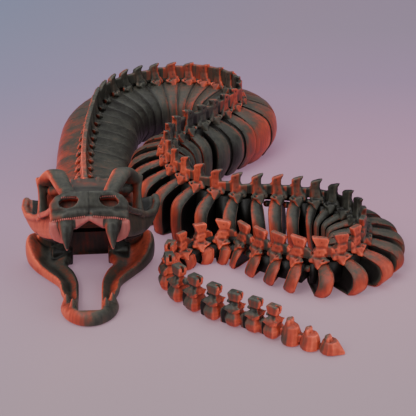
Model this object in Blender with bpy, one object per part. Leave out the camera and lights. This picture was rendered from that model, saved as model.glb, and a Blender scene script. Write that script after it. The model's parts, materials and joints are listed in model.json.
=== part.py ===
"""Printed snake skeleton lying in a coil: open-mouthed skull, lower jaw flat on the table, and
a chain of linked vertebrae with their rib blocks, divided into eleven lengths."""

import math

import bmesh
import bpy
import mathutils
import numpy as np

for old in list(bpy.data.objects):
    bpy.data.objects.remove(old)

# ---- driving sizes, in metres; everything else is in links (one link = LINK) ----
LINK = 0.0075            # spacing of two vertebrae in the middle of the body
GAP = 0.04               # clear space where two lengths meet, in links (0.3 mm)

SPINE_TALL = 0.52        # neural spine
COLLAR_DOWN = 1.10       # collar's middle, below the tip of the spine
LINK_DOWN = 0.74         # upper tab, below the tip
BALL_DOWN = 1.50         # lower ball link, below the tip
TAIL_BALL_DOWN = 1.12    # the same on the tail
OPEN_FROM = 16           # from this vertebra on the ribs stand apart and show the lower link
TAIL_LINKS_FROM = 58     # from this one on the lower link sits higher
HEXAGONS_FROM = 60       # from this one on the body is a hexagon, with no ribs
NUBS = 3                 # stout pieces with a round knob at the very end

SKULL_PITCH = 35.0       # degrees that the upper jaw is raised
HEAD_YAW = 4.3           # degrees that the head turns from straight out
HEAD_AT = (-5.40, -6.20)
HINGE_UP = 1.0           # height of the skull's own origin over the table
SKULL_ASIDE = 0.11       # skull's middle, to the viewer's right of the jaw's

# the body's course: first vertebra, its direction, then (links, degrees turned per link)
START = (-5.422, -4.939)
HEADING = 104.36
COURSE = [(3, -2.2), (4, -1.2), (4, -1.3), (2, 0.2), (1, -7.8), (1, -9.0), (1, -10.5),
          (1, -12.3), (1, -13.7), (6, -15.2), (3, -20.9), (4, -3.5), (3, 15.2), (4, 11.4),
          (3, 16.9), (3, -6.7), (4, -19.6), (2, -18.0), (3, -27.9), (3, -6.8), (2, 39.5),
          (4, 24.0), (3, 8.7), (2, -4.4), (3, 6.1)]

# how the sizes run along the body: (vertebra, value) pairs, straight in between
PITCH = [(0, 0.791), (10, 0.886), (14, 1.072), (22, 0.966), (32, 1.039), (42, 0.954), (46, 0.805),
         (52, 0.952), (56, 1.072), (61, 1.145), (64, 1.07), (67, 0.868), (70, 0.827)]
TALL = [(0, 2.9), (2, 3.0), (16, 3.9), (25, 4.0), (34, 3.9), (35, 3.8), (48, 2.8), (59, 1.8),
        (62, 1.72), (67, 1.5), (68, 1.17), (70, 0.77)]
WIDE = [(0, 1.15), (2, 1.6), (5, 1.93), (9, 1.95), (12, 2.1), (24, 2.15), (29, 2.1), (32, 1.75),
        (37, 1.75), (41, 1.62), (44, 1.8), (47, 2.02), (49, 1.95), (50, 1.7), (52, 1.35),
        (54, 1.0), (57, 0.66), (61, 0.48), (67, 0.44), (70, 0.40)]
FOOT = [(0, 1.0), (2, 1.25), (6, 1.45), (26, 1.6), (33, 1.7), (38, 1.7), (41, 1.4), (47, 1.6),
        (50, 1.36), (52, 1.15), (54, 0.87), (57, 0.62), (61, 0.36), (67, 0.34), (70, 0.30)]
# how far the rib block lies to the left of its column, and its length along the body
ASIDE = [(0, -0.06), (2, -0.2), (5, -0.28), (9, -0.33), (13, -0.22), (17, 0.0), (37, 0.0),
         (40, 0.14), (43, 0.14), (46, 0.0), (55, 0.0), (57, 0.12), (59, 0.0)]
AXIAL = [(0, 0.72), (10, 0.80), (14, 0.85), (24, 0.85), (28, 0.62), (32, 0.56), (47, 0.56),
         (51, 0.63), (59, 0.63)]
# share of a bend's inner spacing that a rib block takes, and how far its feet lie tailward
WEDGE = [(24, 0.88), (28, 0.74)]
SLANT = [(0, 0.12), (14, 0.2), (52, 0.2), (58, 0.0)]
# half the length of a spine's top
FLARE = [(0, 0.27), (44, 0.27), (49, 0.38), (57, 0.38), (60, 0.27)]
STOUT = [(0, 0.95), (54, 1.0), (63, 0.88), (67, 0.82), (68, 0.8), (70, 0.75)]

LENGTHS = [("neck", 8), ("trunk_front", 7), ("trunk_back_bend", 9), ("trunk_middle", 8),
           ("trunk_left_bend", 7), ("trunk_rear", 7), ("trunk_right_bend", 7),
           ("tail_base", 6), ("tail_bend", 4), ("tail_run", 5), ("tail_tip", 3)]
COUNT = sum(n for _, n in LENGTHS)


def along(table, i):
    return float(np.interp(i, [k for k, _ in table], [v for _, v in table]))


# ---- small mesh makers ----
def mesh_object(name, points, faces):
    mesh = bpy.data.meshes.new(name)
    mesh.from_pydata([tuple(float(c) for c in p) for p in points], [], faces)
    mesh.update()
    work = bmesh.new()
    work.from_mesh(mesh)
    bmesh.ops.recalc_face_normals(work, faces=work.faces)
    work.to_mesh(mesh)
    work.free()
    obj = bpy.data.objects.new(name, mesh)
    bpy.context.scene.collection.objects.link(obj)
    return obj


def loft(name, rings):
    """A closed tube through rings of equal length, with flat ends."""
    n = len(rings[0])
    points = [p for ring in rings for p in ring]
    faces = [tuple(range(n)), tuple(range(len(points) - 1, len(points) - n - 1, -1))]
    for r in range(len(rings) - 1):
        for j in range(n):
            k = (j + 1) % n
            faces.append((r * n + j, r * n + k, (r + 1) * n + k, (r + 1) * n + j))
    return mesh_object(name, points, faces)


def hull(name, points):
    work = bmesh.new()
    for p in points:
        work.verts.new([float(c) for c in p])
    made = bmesh.ops.convex_hull(work, input=work.verts)
    loose = [g for g in made["geom_interior"] + made["geom_unused"]
             if isinstance(g, bmesh.types.BMVert)]
    bmesh.ops.delete(work, geom=list(set(loose)), context="VERTS")
    bmesh.ops.recalc_face_normals(work, faces=work.faces)
    mesh = bpy.data.meshes.new(name)
    work.to_mesh(mesh)
    work.free()
    obj = bpy.data.objects.new(name, mesh)
    bpy.context.scene.collection.objects.link(obj)
    return obj


def unite(name, pieces):
    """One body out of overlapping closed pieces."""
    group = bpy.data.collections.new(name + "_pieces")
    bpy.context.scene.collection.children.link(group)
    base = pieces[0]
    for piece in pieces[1:]:
        group.objects.link(piece)
    step = base.modifiers.new("join", "BOOLEAN")
    step.operation, step.solver = "UNION", "EXACT"
    step.operand_type, step.collection = "COLLECTION", group
    bpy.context.view_layer.update()
    made = bpy.data.meshes.new_from_object(
        base.evaluated_get(bpy.context.evaluated_depsgraph_get()))
    work = bmesh.new()
    work.from_mesh(made)
    bmesh.ops.remove_doubles(work, verts=work.verts, dist=5e-7)
    work.to_mesh(made)
    work.free()
    for piece in pieces:
        bpy.data.objects.remove(piece)
    bpy.data.collections.remove(group)
    made.name = name
    obj = bpy.data.objects.new(name, made)
    bpy.context.scene.collection.objects.link(obj)
    return obj


# ---- the course of the body ----
def stations():
    """(x, y, direction in radians) of every vertebra, and the turn of each link."""
    turns = [math.radians(a) for n, a in COURSE for _ in range(n)]
    x, y = START
    h = math.radians(HEADING)
    out = [(x, y, h)]
    for i in range(COUNT - 1):
        step, turn = along(PITCH, i + 0.5), turns[i]
        x += step * math.cos(h + turn / 2)
        y += step * math.sin(h + turn / 2)
        h += turn
        out.append((x, y, h))
    return out, turns


STATIONS, TURNS = stations()


def local_turn(i):
    """The sharper turn of the links on both sides of vertebra i."""
    return max((TURNS[k] for k in (i - 1, i) if 0 <= k < COUNT - 1), key=abs)


def place(i, a, b, z):
    """A vertebra's own place (a to the head, b to its left seen from above, z up) in metres."""
    x, y, h = STATIONS[i]
    fx, fy = math.cos(h), math.sin(h)          # tailward
    return ((x - a * fx - b * fy) * LINK, (y - a * fy + b * fx) * LINK, z * LINK)


def box_ring(i, a, b, z, da, db):
    return [place(i, a + s * da, b + t * db, z) for s, t in ((1, 1), (-1, 1), (-1, -1), (1, -1))]


def rib_outline(i):
    """Half outline of the rib block, from its top middle down to the table: (b, z)."""
    tall, stout, wide, foot = (along(t, i) for t in (TALL, STOUT, WIDE, FOOT))
    top = tall - 1.22 * stout
    if i >= HEXAGONS_FROM:
        top = tall - 0.9 * stout
        return [(0.20 * stout, top), (wide, 0.55 * top), (foot, 0.0)]
    return [(0.40, top), (0.86 * wide, 0.78 * top), (wide, 0.36 * top), (foot, 0.0)]


def rib_block(i):
    """The rib block: full width outside a bend, a wedge inside it, flat on the table."""
    turn, pitch = local_turn(i), along(PITCH, i)
    half = rib_outline(i)
    low = -1e9 if turn >= 0 else -(pitch - 0.30) / max(abs(turn), 1e-6)
    high = 1e9 if turn <= 0 else (pitch - 0.30) / max(abs(turn), 1e-6)
    aside = along(ASIDE, i)
    top = half[0][1]
    lean = [aside * (0.2 if z == top else 1.0) for b, z in half]
    outline = [(m + b, z) for (b, z), m in zip(half, lean)]
    outline += [(m - b, z) for (b, z), m in reversed(list(zip(half, lean)))]
    outline = [(min(max(b, low), high), z) for b, z in outline]
    rings = [[], []]
    for b, z in outline:
        thick = min(along(AXIAL, i), along(WEDGE, i) * (pitch - turn * b))
        back = along(SLANT, i) * (1.0 - z / top)
        if i >= HEXAGONS_FROM:
            thick = 0.51 if z >= top else 0.73 if z > 0 else 0.37
            thick *= along(STOUT, i)
        rings[0].append(place(i, thick / 2 - back, b, z))
        rings[1].append(place(i, -thick / 2 - back, b, z))
    return loft(f"ribs{i}", rings)


def column(i):
    """Spine, pillar and collar of one vertebra."""
    tall, k = along(TALL, i), along(STOUT, i)
    if i >= COUNT - NUBS:
        return nub(i)
    long, wide = along(FLARE, i), 0.19 if i >= HEXAGONS_FROM else 0.10
    top = [(s * long, t * wide, -0.10 if s > 0 else 0.0)
           for s, t in ((1, 1), (-1, 1), (-1, -1), (1, -1))]
    rings = [[place(i, a * k, b * k, tall + z * k) for a, b, z in top],
             box_ring(i, 0.0, 0.0, tall - SPINE_TALL * k, 0.21 * k, 0.9 * wide * k + 0.04 * k),
             box_ring(i, 0.0, 0.0, tall - 0.88 * k, 0.25 * k, 0.19 * k),
             box_ring(i, 0.05 * k, 0.0, tall - COLLAR_DOWN * k, 0.34 * k, 0.46 * k),
             box_ring(i, 0.0, 0.0, tall - 1.34 * k, 0.20 * k, 0.30 * k)]
    return [loft(f"column{i}", rings)]


def nub(i):
    """A piece of the tail's end: a stout body with a round knob, the very last drawn to a point."""
    tall, k = along(TALL, i), along(STOUT, i)
    ring = [(math.cos(q * math.pi / 3), math.sin(q * math.pi / 3)) for q in range(6)]
    body = [(tall - 0.26, 0.26), (0.48 * tall, 0.40), (0.0, 0.34)]
    points = [place(i, r * c, r * d, z) for z, r in body for c, d in ring]
    if i == COUNT - 1:
        points += [place(i, -0.62, b, z) for b, z in ((0.04, 0.0), (-0.04, 0.0), (0.0, 0.14))]
    knob = [place(i, r * c, r * d, z) for z, r in ((tall, 0.09), (tall - 0.10, 0.15),
                                                   (tall - 0.45 * k, 0.17)) for c, d in ring]
    return [hull(f"body{i}", points), hull(f"knob{i}", knob)]


def tab(i, down, half_b, half_z, joined):
    """A link from vertebra i headward to vertebra i - 1; short of it where two lengths meet."""
    k = along(STOUT, i)
    half_b, half_z = half_b * k, half_z * k
    z0 = along(TALL, i) - down * k
    z1 = along(TALL, i - 1) - down * along(STOUT, i - 1)
    if i >= COUNT - NUBS:
        z0, z1 = 0.40 * along(TALL, i), 0.40 * along(TALL, i - 1)
    if joined:
        end = [place(i - 1, -0.05, b, z1 + z) for b, z in
               ((half_b, half_z), (half_b, -half_z), (-half_b, -half_z), (-half_b, half_z))]
    else:
        stop = 0.37 if down == LINK_DOWN else along(AXIAL, i - 1) / 2 + 0.06
        reach = along(PITCH, i - 0.5) - stop - GAP
        end = [place(i, reach, b, z1 + z) for b, z in
               ((half_b, half_z), (half_b, -half_z), (-half_b, -half_z), (-half_b, half_z))]
    start = [place(i, 0.05, b, z0 + z) for b, z in
             ((half_b, half_z), (half_b, -half_z), (-half_b, -half_z), (-half_b, half_z))]
    return loft(f"tab{i}", [start, end])


# ---- head ----
def skull_place(l, f, w):
    """Skull's own place (l to the viewer's right, f forward, w up from the mouth) in metres."""
    p = math.radians(SKULL_PITCH)
    ahead, z = f * math.cos(p) - w * math.sin(p), HINGE_UP + f * math.sin(p) + w * math.cos(p)
    return jaw_place(l + SKULL_ASIDE, ahead, z)


def jaw_place(l, f, z):
    q = math.radians(HEAD_YAW)
    return ((HEAD_AT[0] + l * math.cos(q) + f * math.sin(q)) * LINK,
            (HEAD_AT[1] + l * math.sin(q) - f * math.cos(q)) * LINK, z * LINK)


def mirrored(points):
    return points + [(-l, f, w) for l, f, w in points]


def skull_hull(name, points, sides=True):
    if not sides:
        return [hull(name, [skull_place(*p) for p in mirrored(points)])]
    return [hull(f"{name}{s}", [skull_place(s * l, f, w) for l, f, w in points]) for s in (-1, 1)]


def skull_path(name, rings):
    """A bar on each side through rings of four (l, f, w) corners."""
    return [loft(f"{name}{s}", [[skull_place(s * l, f, w) for l, f, w in ring] for ring in rings])
            for s in (-1, 1)]


def skull():
    p = []
    # snout: a wide plate with cut corners, and the nose roof behind it
    p += skull_hull("snout", [(1.12, 5.00, 1.53), (1.68, 4.86, 1.10), (1.70, 4.88, 0.42),
                              (1.20, 5.05, 0.36), (0.0, 5.12, 0.42), (0.0, 5.06, 1.55),
                              (1.08, 4.20, 1.66), (1.64, 3.90, 1.10), (1.64, 3.90, 0.35)], False)
    # swollen sides that carry the fangs, and the arched lip between them
    p += skull_hull("lobe", [(1.66, 4.82, 0.45), (1.70, 4.55, -0.10), (1.52, 4.45, -0.50),
                             (1.15, 4.40, -0.64), (0.80, 4.45, -0.30), (0.70, 4.80, 0.45),
                             (1.64, 3.50, 0.40), (1.55, 3.40, -0.20), (1.00, 3.50, -0.35),
                             (0.75, 3.60, 0.40)])
    p += skull_hull("lip", [(0.75, 4.95, 0.50), (0.75, 4.85, -0.10), (0.45, 4.85, -0.10),
                            (0.0, 4.95, 0.17), (0.0, 5.0, 0.50), (0.75, 4.40, 0.45),
                            (0.45, 4.45, -0.02), (0.0, 4.50, 0.22)])
    # fangs
    ring = [(math.cos(q * math.pi / 3), math.sin(q * math.pi / 3)) for q in range(6)]
    p += skull_path("fang", [[(0.95 + 0.31 * r * c, 4.80 + o + 0.24 * r * d, w) for c, d in ring]
                             for w, r, o in ((0.20, 1.0, 0.0), (-0.30, 0.72, 0.06),
                                             (-0.78, 0.34, 0.02), (-0.98, 0.10, -0.04))])
    # braincase, falling forward to the nose and closed by the palate
    p += skull_hull("brain", [(0.80, 1.45, 2.82), (1.00, 0.90, 2.45), (1.05, 0.45, 1.50),
                              (0.95, 0.30, 0.55), (1.15, 2.40, 0.45), (1.10, 4.20, 0.45),
                              (0.80, 4.30, 1.62), (0.95, 2.60, 2.20), (0.0, 1.30, 2.90),
                              (0.0, 0.45, 1.9), (0.0, 0.20, 1.0)], False)
    # brow: up and out from the nose, then down the back of the eye to the cheek
    brow = [[(0.54, 4.30, 1.60), (1.10, 4.42, 1.52), (1.15, 4.30, 1.20), (0.60, 4.10, 1.25)],
            [(0.80, 3.60, 2.30), (1.50, 3.65, 2.28), (1.52, 3.50, 1.95), (0.85, 3.40, 1.95)],
            [(1.02, 3.00, 2.84), (1.90, 3.00, 2.88), (1.86, 2.90, 2.50), (1.02, 2.85, 2.42)],
            [(1.05, 2.10, 2.80), (2.34, 2.55, 2.60), (2.16, 2.50, 2.28), (1.10, 2.05, 2.36)]]
    p += skull_path("brow", brow)
    # back wall of the eye socket
    p += skull_hull("socket", [(1.0, 1.3, 2.60), (1.0, 1.3, 0.60), (2.05, 1.25, 2.42),
                               (2.05, 1.25, 0.70), (1.0, 2.0, 2.52), (1.0, 2.2, 0.60),
                               (1.7, 1.75, 2.38), (1.6, 1.9, 0.70)])
    post = [[(1.70, 2.20, 2.70), (2.34, 2.62, 2.60), (2.30, 2.25, 2.54), (1.75, 1.85, 2.64)],
            [(1.92, 2.20, 2.00), (2.22, 2.45, 2.00), (2.24, 2.10, 2.00), (1.92, 1.90, 2.00)],
            [(1.88, 2.15, 1.40), (2.22, 2.40, 1.40), (2.28, 2.00, 1.40), (1.90, 1.80, 1.40)],
            [(1.80, 2.20, 0.80), (2.24, 2.50, 0.85), (2.40, 1.90, 0.85), (1.85, 1.80, 0.80)]]
    p += skull_path("post", post)
    # cheek wall: from the lobes out and back, then the flare that hooks up behind
    cheek = [[(1.64, 4.30, 0.95), (1.66, 4.30, -0.10), (1.25, 4.10, -0.10), (1.30, 4.10, 0.95)],
             [(1.72, 3.20, 0.92), (1.68, 3.20, -0.16), (1.35, 3.10, -0.16), (1.40, 3.10, 0.92)],
             [(2.30, 2.20, 1.00), (2.16, 2.10, 0.10), (1.75, 1.95, 0.10), (1.90, 2.05, 1.00)],
             [(2.78, 1.30, 1.20), (2.58, 1.25, 0.50), (2.10, 1.00, 0.50), (2.40, 1.05, 1.20)],
             [(3.08, 0.62, 1.72), (2.88, 0.75, 1.10), (2.50, 0.35, 1.00), (2.70, 0.35, 1.72)],
             [(2.90, 0.30, 2.10), (3.00, 0.45, 1.60), (2.62, 0.05, 1.55), (2.66, 0.10, 2.10)]]
    p += skull_path("cheek", cheek)
    # wall that closes the flare behind, and the root that carries it on the braincase
    flare = [[(2.86, 0.42, 2.12), (2.90, 0.50, 1.10), (2.70, 0.15, 1.10), (2.72, 0.15, 2.12)],
             [(2.35, 0.60, 2.06), (2.40, 0.90, 0.70), (2.25, 0.20, 0.80), (2.25, 0.10, 2.00)],
             [(1.60, 0.90, 2.10), (1.60, 1.20, 0.40), (1.60, 0.10, 0.50), (1.60, 0.10, 2.00)],
             [(0.90, 1.00, 2.10), (0.90, 1.40, 0.50), (0.90, 0.25, 0.60), (0.90, 0.25, 2.00)]]
    p += skull_path("flare", flare)
    # legs of the skull that stand over the jaw's hinge
    p += skull_hull("leg", [(1.15, 0.95, 0.80), (1.75, 0.95, 0.80), (1.15, 0.20, 0.80),
                            (1.75, 0.20, 0.80), (1.20, 0.36, 0.06), (1.65, 0.36, 0.06),
                            (1.20, -0.02, 0.06), (1.65, -0.02, 0.06)])
    # knob towards the neck
    p += skull_hull("nape", [(0.45, 0.30, 1.80), (0.45, 0.30, 0.90), (0.22, -0.04, 1.45),
                             (0.22, -0.04, 1.05)], False)
    return unite("skull", p)


def jaw_rings():
    """Left half of the jaw, from behind the hinge to the middle of the chin, as (l, f, z)."""
    #        outer (l, f)     inner (l, f)    outer wall, inner edge
    rows = [((2.50, -1.15), (1.48, -1.05), 1.15, 1.20),
            ((2.92, -0.55), (1.04, -0.62), 1.25, 1.00),
            ((2.88, 0.05), (0.82, 0.02), 0.98, 0.62),
            ((2.52, 0.78), (1.05, 0.45), 0.62, 0.30),
            ((2.02, 1.50), (0.76, 1.20), 0.50, 0.32),
            ((1.42, 2.36), (0.54, 2.20), 0.44, 0.34),
            ((1.27, 3.10), (0.50, 3.10), 0.36, 0.34),
            ((1.12, 3.72), (0.50, 3.80), 0.34, 0.32),
            ((1.25, 4.42), (0.50, 4.50), 0.50, 0.42),
            ((1.06, 5.05), (0.46, 4.95), 0.56, 0.48),
            ((0.66, 5.62), (0.34, 5.22), 0.56, 0.50),
            ((0.00, 5.92), (0.00, 5.36), 0.54, 0.50)]
    rings = []
    for (ol, of), (il, inf), up, edge in rows:
        def at(share, z):
            return (ol + (il - ol) * share, of + (inf - of) * share, z)
        rings.append([at(0.02, 0.0), at(0.0, 0.55 * up), at(0.08, up), at(0.30, 0.86 * up),
                      at(0.62, 0.75 * edge), at(0.88, edge), at(1.0, 0.7 * edge),
                      at(0.98, 0.0)])
    return rings


def lower_jaw():
    half = jaw_rings()
    rings = half + [[(-l, f, z) for l, f, z in ring] for ring in reversed(half[:-1])]
    pieces = [loft("jawbar", [[jaw_place(*c) for c in ring] for ring in rings])]
    # hinge blocks, and two teeth on each side of the chin
    for s in (-1, 1):
        pieces.append(hull(f"block{s}", [jaw_place(s * l, f, z) for l in (0.79, 1.75)
                                         for f, z in ((0.08, 0.0), (-0.62, 0.0), (-0.62, 0.62),
                                                      (0.02, 0.62))]))
        for l, f, up in ((0.98, 4.50, 0.80), (0.66, 5.02, 0.82)):
            ring = [(0.19 * math.cos(q * math.pi / 3), 0.19 * math.sin(q * math.pi / 3))
                    for q in range(6)]
            pieces.append(hull(f"tooth{s}{f}", [jaw_place(s * l + r * c, f + r * d, z)
                                                for z, r in ((0.2, 1.0), (0.5, 0.85), (up, 0.12))
                                                for c, d in ring]))
    return unite("lower_jaw", pieces)


# ---- build ----
bodies = [skull(), lower_jaw()]
first = 0
for name, count in LENGTHS:
    pieces = []
    for i in range(first, first + count):
        if i < COUNT - 1:
            pieces.append(rib_block(i))
        pieces += column(i)
        if 0 < i < COUNT - NUBS:
            pieces.append(tab(i, LINK_DOWN, 0.09, 0.18, i > first))
        if i >= OPEN_FROM:
            down = BALL_DOWN if i < TAIL_LINKS_FROM else TAIL_BALL_DOWN
            pieces.append(tab(i, down, 0.13, 0.14, i > first))
    bodies.append(unite(name, pieces))
    first += count

# stand the whole on z = 0 with the middle of its box over the origin
ends = np.array([tuple(b.matrix_world @ v.co) for b in bodies for v in b.data.vertices])
middle = (ends.min(0) + ends.max(0)) / 2
for body in bodies:
    body.data.transform(mathutils.Matrix.Translation(
        (-middle[0], -middle[1], -ends[:, 2].min())))

# copper silk plastic, the head greyer, and every other length a little darker
COLOURS = {"skull": (0.30, 0.12, 0.09), "lower_jaw": (0.42, 0.13, 0.08)}
for n, body in enumerate(bodies):
    paint = bpy.data.materials.new(body.name)
    paint.use_nodes = True
    shade = paint.node_tree.nodes["Principled BSDF"]
    red = COLOURS.get(body.name, (0.40 - 0.10 * (n % 2), 0.12, 0.08))
    shade.inputs["Base Color"].default_value = (*red, 1.0)
    shade.inputs["Roughness"].default_value = 0.4
    body.data.materials.clear()
    body.data.materials.append(paint)
print("middle", (middle / LINK).round(3), "size", ((ends.max(0) - ends.min(0)) * 1000).round(1))
for body in bodies:
    body.data.calc_loop_triangles()
    print(body.name, len(body.data.loop_triangles))
print("all", sum(len(b.data.loop_triangles) for b in bodies))
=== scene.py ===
# %% [markdown]
# # A printed snake skeleton in two-tone silk plastic
# This lesson dresses a packed, solid model of a printed toy: a snake's skeleton that lies in a
# coil, 211 mm long, with an open mouth. The solids are plain blocks. Here each of them gets the
# bones that it stands for: hooked spines, winged collars, round links, rounded ribs with dark
# recesses between them, and a skull and jaw with their own windows and ridges.

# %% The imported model
import json
import math
import random

import bmesh
import bpy
import numpy as np
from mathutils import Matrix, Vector

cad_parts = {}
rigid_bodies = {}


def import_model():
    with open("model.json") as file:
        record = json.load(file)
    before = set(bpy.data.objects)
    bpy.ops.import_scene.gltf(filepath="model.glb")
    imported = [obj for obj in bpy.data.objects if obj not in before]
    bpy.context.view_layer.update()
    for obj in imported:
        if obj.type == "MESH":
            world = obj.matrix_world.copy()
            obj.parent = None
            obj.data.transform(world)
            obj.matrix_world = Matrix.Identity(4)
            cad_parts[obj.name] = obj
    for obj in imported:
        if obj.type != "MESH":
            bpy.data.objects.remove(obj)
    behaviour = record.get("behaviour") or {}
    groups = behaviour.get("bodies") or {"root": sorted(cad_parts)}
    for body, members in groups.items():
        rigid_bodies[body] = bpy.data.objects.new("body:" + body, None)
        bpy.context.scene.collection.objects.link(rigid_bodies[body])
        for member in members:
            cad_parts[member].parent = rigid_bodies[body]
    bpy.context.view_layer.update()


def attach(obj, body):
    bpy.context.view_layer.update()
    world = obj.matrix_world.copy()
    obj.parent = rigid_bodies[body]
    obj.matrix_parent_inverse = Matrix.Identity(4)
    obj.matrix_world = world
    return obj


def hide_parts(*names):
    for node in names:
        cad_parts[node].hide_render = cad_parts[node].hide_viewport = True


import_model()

# %% [markdown]
# ## The course of the body
# The snake is a chain of 71 vertebrae in eleven lengths. Its course is a table of turns: each row
# says how many links it holds for, and by how many degrees each of them turns. All sizes are in
# links: one link, the usual spacing of two vertebrae, is 7.5 mm. What changes along the body is a
# table of (vertebra, value) pairs with straight lines in between.

# %% Course
LINK = 0.0075
MIDDLE = (0.332, -0.393)          # the box's middle in the tables' own coordinates
START, HEADING = (-5.422, -4.939), 104.36
NECK_HEADINGS = (94.3, 97.3)      # the first two vertebrae face the way that the head does
COURSE = [(3, -2.2), (4, -1.2), (4, -1.3), (2, 0.2), (1, -7.8), (1, -9.0), (1, -10.5),
          (1, -12.3), (1, -13.7), (6, -15.2), (3, -20.9), (4, -3.5), (3, 15.2), (4, 11.4),
          (3, 16.9), (3, -6.7), (4, -19.6), (2, -18.0), (3, -27.9), (3, -6.8), (2, 39.5),
          (4, 24.0), (3, 8.7), (2, -4.4), (3, 6.1)]
PITCH = [(0, 0.791), (10, 0.886), (14, 1.072), (22, 0.966), (32, 1.039), (42, 0.954), (46, 0.805),
         (52, 0.952), (56, 1.072), (61, 1.145), (64, 1.07), (67, 0.868), (70, 0.827)]
LENGTHS = [("neck", 8), ("trunk_front", 7), ("trunk_back_bend", 9), ("trunk_middle", 8),
           ("trunk_left_bend", 7), ("trunk_rear", 7), ("trunk_right_bend", 7),
           ("tail_base", 6), ("tail_bend", 4), ("tail_run", 5), ("tail_tip", 3)]
COUNT = sum(n for _, n in LENGTHS)


def along(table, i):
    return float(np.interp(i, [k for k, _ in table], [v for _, v in table]))


def stations():
    """(x, y, tailward direction) of every vertebra, and the turn of each link."""
    turns = [math.radians(a) for n, a in COURSE for _ in range(n)]
    (x, y), h = START, math.radians(HEADING)
    out = [(x, y, h)]
    for i in range(COUNT - 1):
        step, turn = along(PITCH, i + 0.5), turns[i]
        x += step * math.cos(h + turn / 2)
        y += step * math.sin(h + turn / 2)
        h += turn
        out.append((x, y, h))
    return out, turns


STATIONS, TURNS = stations()
for i, heading in enumerate(NECK_HEADINGS):
    STATIONS[i] = (*STATIONS[i][:2], math.radians(heading))
print(COUNT, "vertebrae, the last one at", [round(c, 2) for c in STATIONS[-1]])

# %% [markdown]
# ## Sizes along the body
# The sizes run smoothly from the neck to the tail. They are those of the solids, apart from a few
# values that shape rounded ribs and hooked spines inside the same outline.

# %% Sizes
# height of a spine's tip, half width of a rib block and of its feet, and its lean to the left
TALL = [(0, 2.9), (2, 3.0), (16, 3.9), (25, 4.0), (34, 3.9), (35, 3.8), (48, 2.8), (59, 1.8),
        (62, 1.72), (67, 1.5), (68, 1.17), (70, 0.77)]
WIDE = [(0, 1.15), (2, 1.6), (5, 1.93), (9, 1.95), (12, 2.1), (24, 2.15), (29, 2.1), (32, 1.75),
        (37, 1.75), (41, 1.62), (44, 1.8), (47, 2.02), (49, 1.95), (50, 1.7), (52, 1.35),
        (54, 1.0), (57, 0.66), (61, 0.48), (67, 0.44), (70, 0.40)]
FOOT = [(0, 1.0), (2, 1.25), (6, 1.45), (26, 1.6), (33, 1.7), (38, 1.7), (41, 1.4), (47, 1.6),
        (50, 1.36), (52, 1.15), (54, 0.87), (57, 0.62), (61, 0.36), (67, 0.34), (70, 0.30)]
ASIDE = [(0, -0.06), (2, -0.2), (5, -0.28), (9, -0.33), (13, -0.22), (17, 0.0), (26, 0.0),
         (28, -0.28), (32, -0.34), (35, -0.3), (37, 0.0), (40, 0.14), (43, 0.14), (46, 0.0),
         (55, 0.0), (57, 0.12), (59, 0.0)]
# length of a rib along the body, inside and outside a bend, and its share of the spacing there
AXIAL = [(0, 0.81), (10, 0.91), (13, 1.02), (18, 0.97), (24, 0.92), (28, 0.70), (32, 0.60),
         (39, 0.60), (42, 0.66), (47, 0.64), (50, 0.62), (57, 0.62), (59, 0.60)]
OUTER = [(0, 0.95), (10, 1.15), (12, 1.6), (26, 1.6), (28, 1.25), (30, 0.92), (32, 0.66),
         (34, 0.60), (39, 0.60), (42, 0.66), (47, 0.66), (50, 0.62), (57, 0.62), (59, 0.60)]
WEDGE = [(12, 1.01), (14, 0.985), (17, 0.965), (25, 0.94), (28, 0.80)]
# how far the crown's edges fall away, and how far the foot on the left leads towards the head
ROUND = [(0, 0.003), (12, 0.004), (14, 0.015), (18, 0.04), (30, 0.09)]
TWIST = [(36, 0.0), (39, -0.10), (42, -0.12), (44, -0.06), (46, -0.08), (48, 0.0), (50, 0.10),
         (53, 0.22), (57, 0.28), (60, 0.0)]
# how far both feet lag behind the column, and how stout the column is
SLANT = [(0, 0.12), (14, 0.2), (46, 0.2), (52, 0.28), (57, 0.2), (60, 0.0)]
STOUT = [(0, 0.95), (54, 1.0), (63, 0.88), (67, 0.82), (68, 0.8), (70, 0.75)]
# a spine: half length of its top, half thickness, hook, and the notch between it and the next
FLARE = [(0, 0.38), (12, 0.44), (14, 0.42), (16, 0.34), (19, 0.29), (25, 0.34), (31, 0.34),
         (36, 0.28), (45, 0.27), (47, 0.34), (50, 0.39), (57, 0.38), (61, 0.30)]
THICK = [(22, 0.085), (26, 0.12), (31, 0.12), (36, 0.085)]
HOOK = [(0, 0.2), (13, 0.3), (16, 1.0), (46, 1.0), (50, 0.3), (53, 0.0)]
NOTCH = [(0, 0.16), (13, 0.16), (15, 0.30), (17, 0.38), (19, 0.40), (21, 0.26), (22, 0.14),
         (25, 0.14), (27, 0.28), (31, 0.36), (36, 0.52)]
# the vertebra from which something changes
LINKS_FROM = 16                   # lower links show
APART_FROM = 28                   # ribs stand apart
OPEN_FROM = 31                    # the cores between them are open sockets
TOES_FROM = 47                    # ribs have rounded toes, and collars longer wings
KNOTS_FROM = 48                   # pillars have a knot
BLOCKS_FROM = 60                  # spines become slotted blocks
NUBS = 3                          # the last ones are closed bells
print("tallest", max(v for _, v in TALL), "and widest", 2 * max(v for _, v in WIDE), "links")

# %% [markdown]
# ## Places
# Every vertebra has its own place: a towards the head, b to its left seen from above, and z up.
# The skull's place is tilted up by 35 degrees, and the jaw's lies flat on the table. The three
# functions turn such a place into metres, so that no bone below needs to know where it lies.

# %% From a bone's own place to metres
SKULL_PITCH, HEAD_YAW = math.radians(35.0), math.radians(4.3)
HEAD_AT, HINGE_UP = (-5.40, -6.20), 1.0     # the jaw's hinge
SKULL_ASIDE = 0.11                          # the skull sits a little to the right of the jaw


def metres(x, y, z):
    return ((x - MIDDLE[0]) * LINK, (y - MIDDLE[1]) * LINK, z * LINK)


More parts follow.
